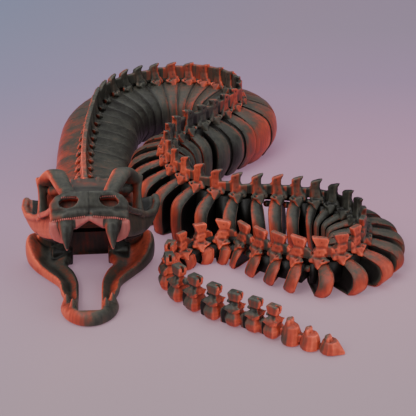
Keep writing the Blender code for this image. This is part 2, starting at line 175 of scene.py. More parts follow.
def place(i, a, b, z):
    x, y, h = STATIONS[i]
    fx, fy = math.cos(h), math.sin(h)
    return metres(x - a * fx - b * fy, y - a * fy + b * fx, z)


def jaw_place(l, f, z):
    c, s = math.cos(HEAD_YAW), math.sin(HEAD_YAW)
    return metres(HEAD_AT[0] + l * c + f * s, HEAD_AT[1] + l * s - f * c, z)


def skull_place(l, f, w):
    c, s = math.cos(SKULL_PITCH), math.sin(SKULL_PITCH)
    return jaw_place(l + SKULL_ASIDE, f * c - w * s, HINGE_UP + f * s + w * c)


print("the snout's tip in mm:", [round(c * 1000, 1) for c in skull_place(0.0, 5.0, 1.0)])

# %% [markdown]
# ## Lumps
# A bone is gathered from overlapping closed pieces: hulls round a few points or balls, bars, and
# lofts through rings. All of them go into one mesh.

# %% Lumps of overlapping pieces
def circle(count):
    return [(math.cos(2 * math.pi * q / count), math.sin(2 * math.pi * q / count))
            for q in range(count)]


BALL_ROWS = 5
BALL = [(0, 0, 1), (0, 0, -1)] + [
    (math.sin(math.pi * r / BALL_ROWS) * c, math.sin(math.pi * r / BALL_ROWS) * s,
     math.cos(math.pi * r / BALL_ROWS)) for r in range(1, BALL_ROWS) for c, s in circle(8)]


def spline(points, per):
    """Catmull-Rom through an array whose first axis runs along the line."""
    p = np.concatenate([[2 * points[0] - points[1]], points, [2 * points[-1] - points[-2]]])
    t = np.linspace(0, 1, per, endpoint=False).reshape((-1,) + (1,) * (p.ndim - 1))
    parts = [0.5 * (2 * p[n] + (p[n + 1] - p[n - 1]) * t
                    + (2 * p[n - 1] - 5 * p[n] + 4 * p[n + 1] - p[n + 2]) * t * t
                    + (3 * p[n] - p[n - 1] - 3 * p[n + 1] + p[n + 2]) * t ** 3)
             for n in range(1, len(p) - 2)]
    return np.concatenate(parts + [points[-1:]])


def linked(name, data):
    obj = bpy.data.objects.new(name, data)
    bpy.context.scene.collection.objects.link(obj)
    return obj


class Lump:
    """A mesh that gathers overlapping closed pieces."""
    def __init__(self):
        self.mesh = bmesh.new()

    def hull(self, points):
        made = bmesh.ops.convex_hull(self.mesh, input=[self.mesh.verts.new(p) for p in points])
        loose = {g for g in made["geom_interior"] + made["geom_unused"]
                 if isinstance(g, bmesh.types.BMVert) and not g.link_faces}
        bmesh.ops.delete(self.mesh, geom=list(loose), context="VERTS")

    def loft(self, rings):
        rows = [[self.mesh.verts.new(p) for p in ring] for ring in rings]
        self.mesh.faces.new(rows[0])
        self.mesh.faces.new(rows[-1][::-1])
        for one, two in zip(rows, rows[1:]):
            for j in range(len(one)):
                k = (j + 1) % len(one)
                self.mesh.faces.new((one[j], one[k], two[k], two[j]))

    def blob(self, at, balls):
        """A hull round balls; at(a, b, c) turns their own place into metres."""
        self.hull([at(*(c + ball[3] * q for c, q in zip(ball, p))) for ball in balls
                   for p in BALL])

    def bar(self, at, rings):
        """A bar with rounded corners, bent smoothly through rings of corners."""
        rings = spline(np.array(rings, float), 5)
        for _ in range(2):
            ahead = np.roll(rings, -1, axis=1)
            rings = np.stack([0.75 * rings + 0.25 * ahead, 0.25 * rings + 0.75 * ahead], axis=2)
            rings = rings.reshape(len(rings), -1, 3)
        self.loft([[at(*p) for p in ring] for ring in rings])

    def done(self, name):
        bmesh.ops.recalc_face_normals(self.mesh, faces=self.mesh.faces)
        mesh = bpy.data.meshes.new(name)
        self.mesh.to_mesh(mesh)
        self.mesh.free()
        return linked(name, mesh)


print("a ball has", len(BALL), "points")

# %% [markdown]
# ## Melting
# A voxel remesh melts the pieces into one skin, as a printer's nozzle does, and a few rounds of
# smoothing give the soft edges of a small print. Hollows are carved between two melts.

# %% Melting a lump into one skin
def baked(obj):
    """The object with its modifiers applied."""
    bpy.context.view_layer.update()
    mesh = bpy.data.meshes.new_from_object(
        obj.evaluated_get(bpy.context.evaluated_depsgraph_get()))
    obj.modifiers.clear()
    old, obj.data = obj.data, mesh
    mesh.name = obj.name
    bpy.data.meshes.remove(old)
    return obj


def remesh(obj, voxel):
    """Adds a voxel remesh, which takes effect when the object is baked."""
    step = obj.modifiers.new("melt", "REMESH")
    step.mode, step.voxel_size = "VOXEL", voxel


def melt(lump, name, voxel, rounds, hollows=None):
    """One soft skin round a lump, less a second lump of hollows."""
    obj = lump.done(name)
    remesh(obj, voxel)
    if hollows is not None:
        tool = hollows.done(name + "_hollows")
        remesh(tool, voxel)
        cut = obj.modifiers.new("carve", "BOOLEAN")
        cut.operation, cut.object, cut.solver = "DIFFERENCE", tool, "MANIFOLD"
        remesh(obj, voxel)
    soft = obj.modifiers.new("soft", "SMOOTH")
    soft.factor, soft.iterations = 0.5, rounds
    baked(obj)
    if hollows is not None:
        bpy.data.objects.remove(tool)
    obj.data.shade_smooth()
    return obj


VOXEL, HEAD_VOXEL = 0.00021, 0.00023
print("voxels of", round(VOXEL * 1000, 2), "mm, and", round(HEAD_VOXEL * 1000, 2), "for the head")

# %% [markdown]
# ## The column of a vertebra
# Each vertebra carries a spine with a hook, a pillar, a collar with two wings, and two links
# that reach towards the head: a round tab above and a ball below. Heights are measured down from
# the tip of the spine.

# %% Column pieces
def vertebra(i):
    """The height of its tip, its stoutness, and its own place with z up from the tip."""
    top, k = along(TALL, i), along(STOUT, i)
    return top, k, lambda a, b, z: place(i, a * k, b * k, top + z * k)


def plate(lump, at, profile, half, r):
    """A plate with a profile of (a, z), rounded by r."""
    lump.blob(at, [(a, b, z, r) for a, z in profile for b in (-half, half)])


def wings(lump, at, balls):
    """The same blob on the right and on the left."""
    for s in (-1, 1):
        lump.blob(at, [(a, s * b, z, r) for a, b, z, r in balls])


def column(lump, i):
    """Spine, pillar, collar and links of a vertebra of the trunk."""
    at = vertebra(i)[2]
    flare, hook, notch = along(FLARE, i), along(HOOK, i), along(NOTCH, i)
    # spine: a plate that is long on top, with a hook towards the tail
    hooked, high = hook >= 0.5, 0.10 + 0.06 * hook
    plate(lump, at, [(-0.15, -0.02 - 0.02 * hook) if hooked else (-flare + 0.04, -0.045),
                     (flare - 0.10, -high), (flare - 0.04, -high - 0.07),
                     (flare * 0.55 + 0.06, -0.44), (-0.14, -0.46)], along(THICK, i), 0.045)
    if hooked:
        lump.blob(at, [(a, b, z, r) for a, z, r in ((-flare + 0.01, 0.0, 0.035),
                                                    (-flare + 0.11, -0.12, 0.045),
                                                    (-0.05, -0.10, 0.05), (-0.10, -0.30, 0.05))
                       for b in (-0.06, 0.06)])
    # pillar: a plate that leans and grows broader downwards, then the socket's cheeks
    lump.blob(at, [(a, s * b, z, 0.05) for s in (-1, 1) for a, b, z in
                   ((0.17, 0.08, -0.50), (-0.15, 0.08, -0.50), (0.15, 0.16, -0.88),
                    (-0.26, 0.17, -0.88))])
    plate(lump, at, [(a, z) for a in (-0.17, 0.17) for z in (-0.92, -1.34)], 0.16, 0.05)
    if i >= KNOTS_FROM:
        plate(lump, at, [(-0.24, -0.72), (-0.10, -0.60), (0.16, -0.58), (0.24, -0.74),
                         (0.05, -0.86)], 0.11, 0.07)
    wings(lump, at, [(-0.30, 0.13, -0.92, 0.11), (-0.40, 0.16, -1.10, 0.12),
                     (-0.14, 0.22, -1.14, 0.10)])
    # wings of the collar: out towards the head, and a tip that hangs down
    tip, fat = (0.30, 0.03) if i < TOES_FROM else (0.40, 0.0)
    wings(lump, at, [(tip, 0.37, -1.02, 0.045 + fat), (0.16, 0.16, -0.98, 0.08),
                     (0.05, 0.40, -1.12, 0.08), (0.16, 0.20, -1.24, 0.07)])
    wings(lump, at, [(-0.24, 0.24, -1.02, 0.08 + fat), (0.06, 0.34, -1.08, 0.08 + fat),
                     (-0.10, 0.48, -1.36, 0.05 + fat), (0.04, 0.20, -1.30, 0.08),
                     (-0.24, 0.20, -1.26, 0.08 + fat)])
    # tab towards the head, as high as the notch between two spines is deep, and the ball
    tab = [(0.20, -notch), (0.42, -notch + 0.01), (0.60, -notch - 0.12), (0.66, -0.80),
           (0.56, -0.94), (0.20, -0.94)]
    if i < TOES_FROM:
        far = along(PITCH, i - 0.5) / along(STOUT, i)
        tab = [(0.1, -notch), (far - 0.15, -notch - 0.03), (far - 0.1, -0.9), (0.1, -0.94)]
        if notch > 0.3:
            plate(lump, at, [(0.13, -notch + 0.17), (0.34, -notch), (0.34, -0.8), (0.13, -0.8)],
                  0.07, 0.045)
    plate(lump, at, tab, 0.07, 0.045)
    if i >= LINKS_FROM:
        lump.blob(at, [(0.50, 0.0, -1.50, 0.17), (0.1, 0.0, -1.50, 0.13)])


def column_hollows(lump, i):
    """Dimples on both sides of the spine and the wings, and creases above and below the pillar."""
    at = vertebra(i)[2]
    for dimple in ((0.04, 0.17, -0.24, 0.08), (-0.04, 0.25, -0.70, 0.10),
                   (0.14, 0.37, -1.02, 0.07), (-0.34, 0.32, -1.02, 0.08)):
        wings(lump, at, [dimple])
    for z, half, near, far in ((-0.46, 0.40, 0.13, 0.30), (-0.915, 0.42, 0.18, 0.34)):
        for s in (-1, 1):
            lump.hull([at(a, s * b, z + w) for a in (-half, half)
                       for b, w in ((near, 0.0), (far, 0.05), (far, -0.05))])


print("spines hook from vertebra", next(i for i in range(COUNT) if along(HOOK, i) >= 0.5))

# %% [markdown]
# ## The tail
# On the tail the spine becomes a block with a slot, the rib block becomes a swollen body, and the
# ball of each link sits in a round hollow of the vertebra in front of it. The last three are bells.

# %% Tail pieces
OCTAGON = [(1, 0.55), (0.62, 1), (-0.62, 1), (-1, 0.55), (-1, -0.55), (-0.62, -1), (0.62, -1),
           (1, -0.55)]


def tail_column(lump, i):
    """Block, neck, wings, body and ball of a vertebra of the tail."""
    top, k, at = vertebra(i)
    # block on top, then the neck under it
    plate(lump, at, [(0.31, -0.12), (0.26, -0.05), (-0.27, -0.05), (-0.32, -0.12),
                     (-0.26, -0.42), (0.22, -0.42)], 0.18, 0.06)
    plate(lump, at, [(0.14, -0.40), (-0.16, -0.40), (0.20, -0.90), (-0.28, -0.90)], 0.11, 0.05)
    # wings that point to the head, shoulders behind them, and ears towards the tail
    wings(lump, at, [(0.48, 0.40, -0.86, 0.04), (0.12, 0.16, -0.66, 0.08),
                     (-0.10, 0.30, -0.84, 0.09), (0.08, 0.36, -0.98, 0.07)])
    wings(lump, at, [(-0.20, 0.20, -0.72, 0.09), (-0.30, 0.26, -0.92, 0.10),
                     (-0.05, 0.36, -1.0, 0.08)])
    wings(lump, at, [(-0.42, 0.34, -0.76, 0.04), (-0.15, 0.30, -0.90, 0.09),
                     (-0.10, 0.20, -0.74, 0.07)])
    # swollen body, eight-sided, on a narrower foot
    rim, foot, tall = along(WIDE, i), along(FOOT, i), top - 0.84 * k
    rows = ((0.0, 0.55 * foot, 0.16), (0.05 * tall, 0.8 * foot, 0.26),
            (0.16 * tall, foot + 0.03, 0.36), (0.38 * tall, rim, 0.44), (0.56 * tall, rim, 0.43),
            (0.82 * tall, 0.72 * rim, 0.30), (tall, 0.62 * rim, 0.22))
    lump.loft([[place(i, a * k * p, half * q, z) for p, q in OCTAGON] for z, half, a in rows])
    # ball towards the head on a short neck, and a shelf under it
    lump.blob(at, [(0.66, 0.0, -0.58, 0.20)])
    lump.blob(at, [(0.1, 0.0, -0.62, 0.12), (0.60, 0.0, -0.60, 0.11)])
    lump.hull([place(i, a, b, z) for a, high in ((0.1, 0.95 * tall), (0.60, 0.80 * tall))
               for z, half in ((0.04, 0.5 * foot), (0.5 * tall, 0.52 * rim), (high, 0.4 * rim))
               for b in (-half, half)])


def tail_hollows(lump, i):
    """The slot of the block, the waist under it, and the round hollow for the next ball."""
    k, at = vertebra(i)[1:]
    lump.hull([at(a, b, z) for a in (-0.10, -0.5) for b in (-0.065, 0.065) for z in (0.1, -0.28)])
    for s in (-1, 1):
        lump.hull([at(a, s * b, z) for a in (-0.4, 0.34)
                   for b, z in ((0.14, -0.50), (0.35, -0.44), (0.35, -0.55))])
    if i + 1 < COUNT - NUBS:
        lump.blob(lambda a, b, z: place(i + 1, a, b, along(TALL, i + 1) + z),
                  [(0.66 * k, 0.0, -0.58 * k, 0.28 * k)])


def nub(lump, i):
    """A bell with a knob; the very last one runs out into a point."""
    top, ring = along(TALL, i), circle(12)
    body = [(top - 0.24, 0.20, 0.08), (0.70 * top, 0.31, 0.0), (0.48 * top, 0.38, -0.02),
            (0.2 * top, 0.43, 0.0), (0.05 * top, 0.42, 0.0), (0.0, 0.36, 0.0)]
    points = [place(i, a + r * c, r * d, z) for z, r, a in body for c, d in ring]
    if i == COUNT - 1:
        points += [place(i, -0.64, b, z) for b, z in ((0.03, 0.0), (-0.03, 0.0), (0.0, 0.12))]
    lump.hull(points)
    # a knob on top with an ear on each side, and a link
    for s, r in ((-1, 0.09), (0, 0.15), (1, 0.09)):
        high = top - 0.04 * abs(s)
        rows = ((high, 0.5 * r), (high - 0.05, r), (high - 0.17, r), (top - 0.42, 1.4 * r))
        lump.hull([place(i, 0.08 + q * c, s * 0.16 + q * d, z) for z, q in rows for c, d in ring])
    if i < COUNT - 1:
        lump.hull([place(i, a, b, 0.4 * top + z) for a, r in ((0.1, 0.10), (0.45, 0.16))
                   for b in (-r, r) for z in (-r, r)])


print(COUNT - NUBS - BLOCKS_FROM, "vertebrae with a block, and", NUBS, "bells")

# %% [markdown]
# ## Outline of a rib block
# A vertebra of the trunk stands on a block shaped like a capital D: a smooth crown runs from foot
# to foot. Inside a bend the block becomes a wedge and stays short of where it would meet its
# neighbour, so that the vertebrae pass.

# %% Outline
CROWN_POINTS, FLOOR_POINTS = 61, 8
BELOW_TIP = 1.22             # from the tip of the spine down to the top of the block
CLEAR = 0.30                 # what must stay between two hoops inside a bend
BEND_BLEND = 0.15            # the outside of a bend gets its full length from here on
SOFT_LIMIT = 0.65            # share of a limit from which a hoop slows down towards it
LEAN_FROM, LEAN_FADE = 1.15, 0.25     # heights over which the lean to the left fades out


def local_turn(i):
    return max((TURNS[k] for k in (i - 1, i) if 0 <= k < COUNT - 1), key=abs)


def smooth_line(points, count):
    """A curve through the points, with evenly spaced samples."""
    out = spline(np.array(points, float), 24)
    run = np.concatenate([[0], np.cumsum(np.linalg.norm(np.diff(out, axis=0), axis=1))])
    even = np.linspace(0, run[-1], count)
    return np.stack([np.interp(even, run, out[:, c]) for c in (0, 1)], axis=1)


def hoop_line(i):
    """The crown from the foot on the left to the foot on the right."""
    top, wide = along(TALL, i) - BELOW_TIP * along(STOUT, i), along(WIDE, i)
    shoulder = 0.40 if 0.86 * wide - 0.1 >= 0.40 else 0.45 * wide
    half = [(along(FOOT, i), 0.0), (wide, 0.36 * top), (0.86 * wide, 0.78 * top), (shoulder, top)]
    return smooth_line(half + [(-b, z) for b, z in reversed(half)], CROWN_POINTS)


def half_axial(i, b):
    """Half the length of a rib along the body, at b to the left of the column."""
    turn, most = local_turn(i), along(AXIAL, i)
    if turn * b < 0:
        most += (along(OUTER, i) - most) * min(1.0, -turn * b / BEND_BLEND)
    return 0.5 * min(most, along(WEDGE, i) * (along(PITCH, i) - turn * b))


def reach(i):
    """How far the hoop may go to either side before it would meet its neighbour in a bend."""
    turn, far = local_turn(i), 1e9
    stop = (along(PITCH, i) - CLEAR) / max(abs(turn), 1e-6)
    return (-far, stop) if turn > 0 else (-stop, far)


def outline(i, aside, least, most, inset=1.0):
    """The closed outline of a block and its height; inset shrinks it towards its middle."""
    line = hoop_line(i)
    top = line[:, 1].max()
    loop = np.concatenate([line, np.linspace(line[-1], line[0], FLOOR_POINTS + 2)[1:-1]])
    centre = np.array([0.0, 0.42 * top])
    loop = centre + (loop - centre) * inset
    b = loop[:, 0] + aside * np.clip(LEAN_FROM - loop[:, 1] / top, 0.0, LEAN_FADE) / LEAN_FADE
    for limit in (least, most):
        over, rest = b / limit - SOFT_LIMIT, 1.0 - SOFT_LIMIT
        b = np.where(over > 0, limit * (SOFT_LIMIT + rest * np.tanh(over / rest)), b)
    return np.stack([b, loop[:, 1]], axis=1), top


print("block 20 is", round(outline(20, 0.0, *reach(20))[1], 2), "links high")

# %% [markdown]
# ## Rib blocks
# Both faces of a block are dished. Every point also gets a share of red, which falls to black in
# the dish as painted shade. A block is a tube of rings: out of the dish that faces the head, over
# the crown, and into the dish that faces the tail.

# %% Rib block
# each ring's share of the crown's outline, how deep the dish is there, and the painted shade it
# gets
DISH = [(0.975, 0.0, 0.0), (0.93, 0.03, 0.08), (0.86, 0.09, 0.35), (0.76, 0.15, 0.62),
        (0.60, 0.18, 0.80), (0.40, 0.19, 0.85), (0.18, 0.19, 0.85)]
CROWN = [0.97, 0.86, 0.6, 0.3, 0.0, -0.3, -0.6, -0.86, -0.97]
# side (0 on the crown), place between the two faces, then the three values of the dish
RINGS = ([(1, 1.0, *dish) for dish in sorted(DISH)] + [(0, lead, 1.0, 0.0, 0.0) for lead in CROWN]
         + [(-1, -1.0, *dish) for dish in sorted(DISH, reverse=True)])
# how much of that painted shade shows, and how much redder a crown is on its side towards the head
DISH_SHADE = [(0, 0.1), (13, 0.15), (17, 0.4), (25, 0.6), (28, 1.0)]
CROWN_LEAN = [(0, 0.05), (24, 0.05), (31, 0.16), (34, 0.22), (44, 0.22), (48, 0.05), (52, 0.12),
              (58, 0.12)]
# shares of the height above which ribs that stand apart grow thinner, and below which toes do,
# each with the share of thickness that they lose
THIN_TOP, TOP_LOSS, THIN_TOE, TOE_LOSS = 0.85, 0.40, 0.22, 0.35
NECK_RED = 0.05              # the face towards the head of the very first block


class Part:
    """Points with their vertebra and share of red, which also holds painted shade, and the faces
    between them.
    """
    def __init__(self):
        self.verts, self.faces, self.reds, self.owners = [], [], [], []

    def point(self, i, a, b, z, red):
        self.verts.append(place(i, a, b, z))
        self.reds.append(red)
        self.owners.append(i)

    def close(self, rows, size):
        """Joins the latest rows of points into a tube with two caps."""
        base = len(self.verts) - rows * size
        for r in range(base, base + (rows - 1) * size, size):
            for j in range(size):
                k = (j + 1) % size
                self.faces.append((r + j, r + k, r + size + k, r + size + j))
        self.faces.append(tuple(range(base, base + size)))
        self.faces.append(tuple(range(base + rows * size - 1, base + (rows - 1) * size - 1, -1)))


def rib_block(part, i):
    """The rings of a block; from ring to ring the outline runs on towards the next vertebra's."""
    least, most = reach(i)
    slant, lean = along(SLANT, i), along(CROWN_LEAN, i)
    for side, lead, inset, deep, dark in RINGS:
        where = i - 0.5 * lead
        loop, top = outline(where, along(ASIDE, where), least, most, inset)
        for n, (b, z) in enumerate(loop):
            half, share = half_axial(i, b), min(z / top, 1.0)
            if i >= APART_FROM:
                half *= 1.0 - TOP_LOSS * max(0.0, (share - THIN_TOP) / (1.0 - THIN_TOP)) ** 1.5
            if i >= TOES_FROM:
                half *= 1.0 - TOE_LOSS * max(0.0, 1.0 - share / THIN_TOE) ** 2
            back = slant * (max(0.0, 1.0 - share / THIN_TOP) ** 1.2 - 0.25)
            if side:
                a = side * max(half - deep, 0.4 * half)
                # painted shade: the share falls towards black deeper into the dish
                red = -dark * along(DISH_SHADE, i) if i else NECK_RED
            else:
                a = lead * half * min(1.0, 0.90 + z)
                red = lean * lead
                if n < CROWN_POINTS:
                    drop = along(ROUND, i) * abs(lead) ** 4
                    z = max(z - drop * (z / top), 0.0)
                    b -= math.copysign(drop, b) if abs(b) > 0.3 else 0.0
            part.point(i, a - back + along(TWIST, i) * b, b, z, red)
    part.close(len(RINGS), CROWN_POINTS + FLOOR_POINTS)


print("a block has", len(RINGS) * (CROWN_POINTS + FLOOR_POINTS), "points")

# %% [markdown]
# ## Cores
# Behind the crowns a core joins each block to the next one, as the sockets of the printed joint
# do, coloured dark with painted shade. Where the picture shows daylight between two ribs, the core
# is left out.

# %% Cores between the blocks
LIGHT_LOW = (42, 43, 56)     # no socket between these vertebrae and the ones before them
LIGHT_HIGH = (44,)           # no upper link there
SLOT = 53                    # two stubs instead of a whole socket
# a core's share of the crown's outline, and its share of red, which is painted shade
CORE = [(0, 0.99), (13, 0.988), (17, 0.975), (24, 0.965), (28, 0.93)]
CORE_SHADE = [(0, -0.04), (13, -0.08), (17, -0.15), (25, -0.25), (28, -0.80)]


def core(part, i):
    """Fills the space between vertebra i and the one before it, short of the crowns."""
    def join(*ends):
        for v, a, loop in ends:
            for b, z in loop:
                # the core's darkness is painted shade between the blocks
                part.point(v, a, b, z, along(CORE_SHADE, i))
        part.close(2, len(loop))

    def block(v):
        return outline(v, along(ASIDE, v), *reach(v), along(CORE, i))[0]

    def socket(v):
        top = along(TALL, v) - 1.24 * along(STOUT, v)
        low = 0.02 + (0.0 if i < TOES_FROM else 0.24) * top
        return [(0.34, top), (0.42, low), (-0.42, low), (-0.34, top)]

    def neck(v):
        return [(b, along(TALL, v) + z * along(STOUT, v)) for b, z in
                ((0.05, -0.86), (0.05, -1.30), (-0.05, -1.30), (-0.05, -0.86))]

    if i < OPEN_FROM:
        join((i, 0.12, block(i)), (i - 1, -0.12, block(i - 1)))
    elif i == SLOT:
        join((i, 0.12, socket(i)), (i, 0.40, socket(i)))
        join((i - 1, -0.12, socket(i - 1)), (i - 1, -0.42, socket(i - 1)))
    elif i not in LIGHT_LOW:
        join((i, 0.12, socket(i)), (i - 1, -0.12, socket(i - 1)))
    if i not in LIGHT_HIGH:
        join((i, 0.1, neck(i)), (i - 1, -0.1, neck(i - 1)))


print("daylight through", len(LIGHT_LOW) + len(LIGHT_HIGH), "gaps")

# %% [markdown]
# ## Building the chain
# The bones of each length are melted together, and its rib blocks are drawn beside them. A length
# replaces the solid of the same name.

# %% Eleven lengths
def solid(name, verts, faces):
    """A smooth object from points and faces, with its normals outwards."""
    mesh = bpy.data.meshes.new(name)
    mesh.from_pydata([tuple(map(float, v)) for v in verts], [], faces)
    work = bmesh.new()
    work.from_mesh(mesh)
    bmesh.ops.recalc_face_normals(work, faces=work.faces)
    work.to_mesh(mesh)
    work.free()
    mesh.shade_smooth()
    return linked(name, mesh)


bones, ribs, rib_parts = [], [], []
first = 0
for name, number in LENGTHS:
    lump, hollows, part = Lump(), Lump(), Part()
    for i in range(first, first + number):
        if i >= COUNT - NUBS:
            nub(lump, i)
        elif i >= BLOCKS_FROM:
            tail_column(lump, i)
            tail_hollows(hollows, i)
        else:
            column(lump, i)
            column_hollows(hollows, i)
            rib_block(part, i)
            if i > 0:
                core(part, i)
    carve = hollows if len(hollows.mesh.verts) else None
    bones.append(melt(lump, f"bones_{name}", VOXEL, 3, carve))
    if part.verts:
        ribs.append(solid(f"ribs_{name}", part.verts, part.faces))
        rib_parts.append(part)
    first += number
print("bones", sum(len(o.data.polygons) for o in bones), "ribs",
      sum(len(o.data.polygons) for o in ribs))

# %% [markdown]
# ## The face
# The skull is drawn in its own place: l to the side, f forward, w up from the mouth. It is
# gathered from rounded blobs and bars, most of them on both sides. The face is a plate with a
# roll of lip under it, and two swollen lobes that carry the fangs.

# %% Face
def sides(p, balls):
    """The same blob on both sides."""
    for s in (-1, 1):
        p.blob(skull_place, [(s * l, f, w, r) for l, f, w, r in balls])


def across(p, balls):
    """One blob from side to side."""
    p.blob(skull_place, [(s * l, f, w, r) for l, f, w, r in balls for s in (-1, 1)])


def bars(p, rings):
    """The same bar on both sides."""
    for s in (-1, 1):
        p.bar(skull_place, [[(s * l, f, w) for l, f, w in ring] for ring in rings])


def face(p):
    # snout plate, a roll of lip on each side under it, and what closes them behind
    across(p, [(0.96, 4.84, 1.36, 0.16), (1.34, 4.78, 1.18, 0.16), (1.53, 4.66, 0.96, 0.16),
               (1.54, 4.66, 0.84, 0.15), (0.0, 4.94, 1.37, 0.16), (0.0, 4.97, 0.87, 0.14),
               (1.1, 4.91, 0.85, 0.14),
               (1.0, 4.10, 1.50, 0.12), (1.52, 3.90, 1.00, 0.12), (1.52, 3.90, 0.60, 0.12)])
    sides(p, [(0.17, 4.97, 0.57, 0.15), (0.9, 4.94, 0.56, 0.16), (1.10, 4.92, 0.46, 0.16),
              (1.52, 4.70, 0.42, 0.15), (1.54, 4.66, 0.56, 0.14), (1.50, 4.20, 0.45, 0.15),
              (0.2, 4.40, 0.50, 0.15)])
    across(p, [(1.50, 4.66, 0.90, 0.12), (1.0, 4.90, 0.72, 0.12), (0.0, 4.955, 0.90, 0.12),
               (0.0, 4.93, 0.62, 0.12), (1.50, 4.62, 0.55, 0.12), (1.4, 3.90, 0.9, 0.1),
               (1.4, 3.90, 0.5, 0.1)])
    # swollen lobes that carry the fangs, and the arch between them
    sides(p, [(1.50, 4.62, 0.18, 0.22), (1.51, 4.50, -0.06, 0.22), (1.42, 4.42, -0.30, 0.22),
              (1.16, 4.42, -0.44, 0.20),
              (0.88, 4.55, -0.10, 0.20), (0.95, 4.66, 0.22, 0.18), (1.46, 3.80, 0.20, 0.20),
              (1.20, 3.60, -0.05, 0.20), (0.95, 3.70, 0.20, 0.15)])
    sides(p, [(0.62, 4.78, 0.07, 0.14), (0.62, 4.85, 0.30, 0.14), (0.08, 4.92, 0.31, 0.11),
              (0.08, 4.92, 0.40, 0.11), (0.60, 4.40, 0.10, 0.14), (0.10, 4.50, 0.42, 0.14)])


skull_lump, carved = Lump(), Lump()
face(skull_lump)
print("face:", len(skull_lump.mesh.verts), "points")

# %% [markdown]
# ## The braincase
# Behind the face lies a low roof with ridges that run back from the nose, and a wall on each side
# of it that closes the eye socket.

# %% Braincase
def braincase(p):
    across(p, [(0.62, 1.45, 2.58, 0.18), (0.85, 0.95, 2.25, 0.18), (0.90, 0.55, 1.50, 0.15),
               (0.85, 0.45, 0.65, 0.15), (1.00, 2.40, 0.60, 0.15), (1.00, 4.10, 0.60, 0.15),
               (0.70, 4.20, 1.42, 0.15), (0.78, 2.60, 2.02, 0.15), (0.0, 1.35, 2.62, 0.18)])
    for l, up in ((-0.50, 0.03), (-0.06, -0.04), (0.36, 0.04), (-0.82, -0.03), (0.74, -0.03)):
        p.blob(skull_place, [(l, 1.40, 2.70 + up, 0.13), (l * 0.95, 2.60, 2.06, 0.11),
                             (l * 0.9, 3.60, 1.66, 0.08), (l, 0.9, 2.36, 0.12)])
    sides(p, [(1.1, 1.4, 2.50, 0.1), (1.1, 1.4, 0.70, 0.1), (2.20, 1.35, 2.36, 0.1),
              (2.20, 1.35, 0.80, 0.1), (1.1, 1.9, 2.42, 0.1), (1.1, 2.1, 0.70, 0.1),
              (1.6, 1.65, 2.28, 0.1), (1.5, 1.8, 0.80, 0.1)])
    sides(p, [(1.66, 2.15, 2.10, 0.24), (1.40, 1.70, 2.0, 0.24), (1.30, 2.5, 2.05, 0.15)])
    sides(p, [(2.35, 0.70, 0.75, 0.12), (2.30, 0.90, 0.42, 0.12), (1.60, 0.50, 0.08, 0.12),
              (1.30, 0.50, 0.60, 0.12), (1.60, 1.60, 0.08, 0.15), (2.10, 1.20, 0.22, 0.12)])
    sides(p, [(1.25, 0.85, 0.70, 0.1), (1.65, 0.85, 0.70, 0.1), (1.25, 0.28, 0.70, 0.1),
              (1.65, 0.28, 0.70, 0.1), (1.30, 0.28, 0.16, 0.1), (1.55, 0.28, 0.16, 0.1)])
    across(p, [(0.35, 0.40, 1.70, 0.1), (0.35, 0.40, 1.0, 0.1), (0.16, 0.06, 1.35, 0.1),
               (0.16, 0.06, 1.15, 0.1)])


braincase(skull_lump)
print("with the braincase:", len(skull_lump.mesh.verts), "points")

# %% [markdown]
# ## Brows and cheeks
# A brow runs up and out from the nose, over the eye, and down behind it as a post. Under the eye
# lies the rim of its cup, and the cheek wall flares out behind and hooks up.

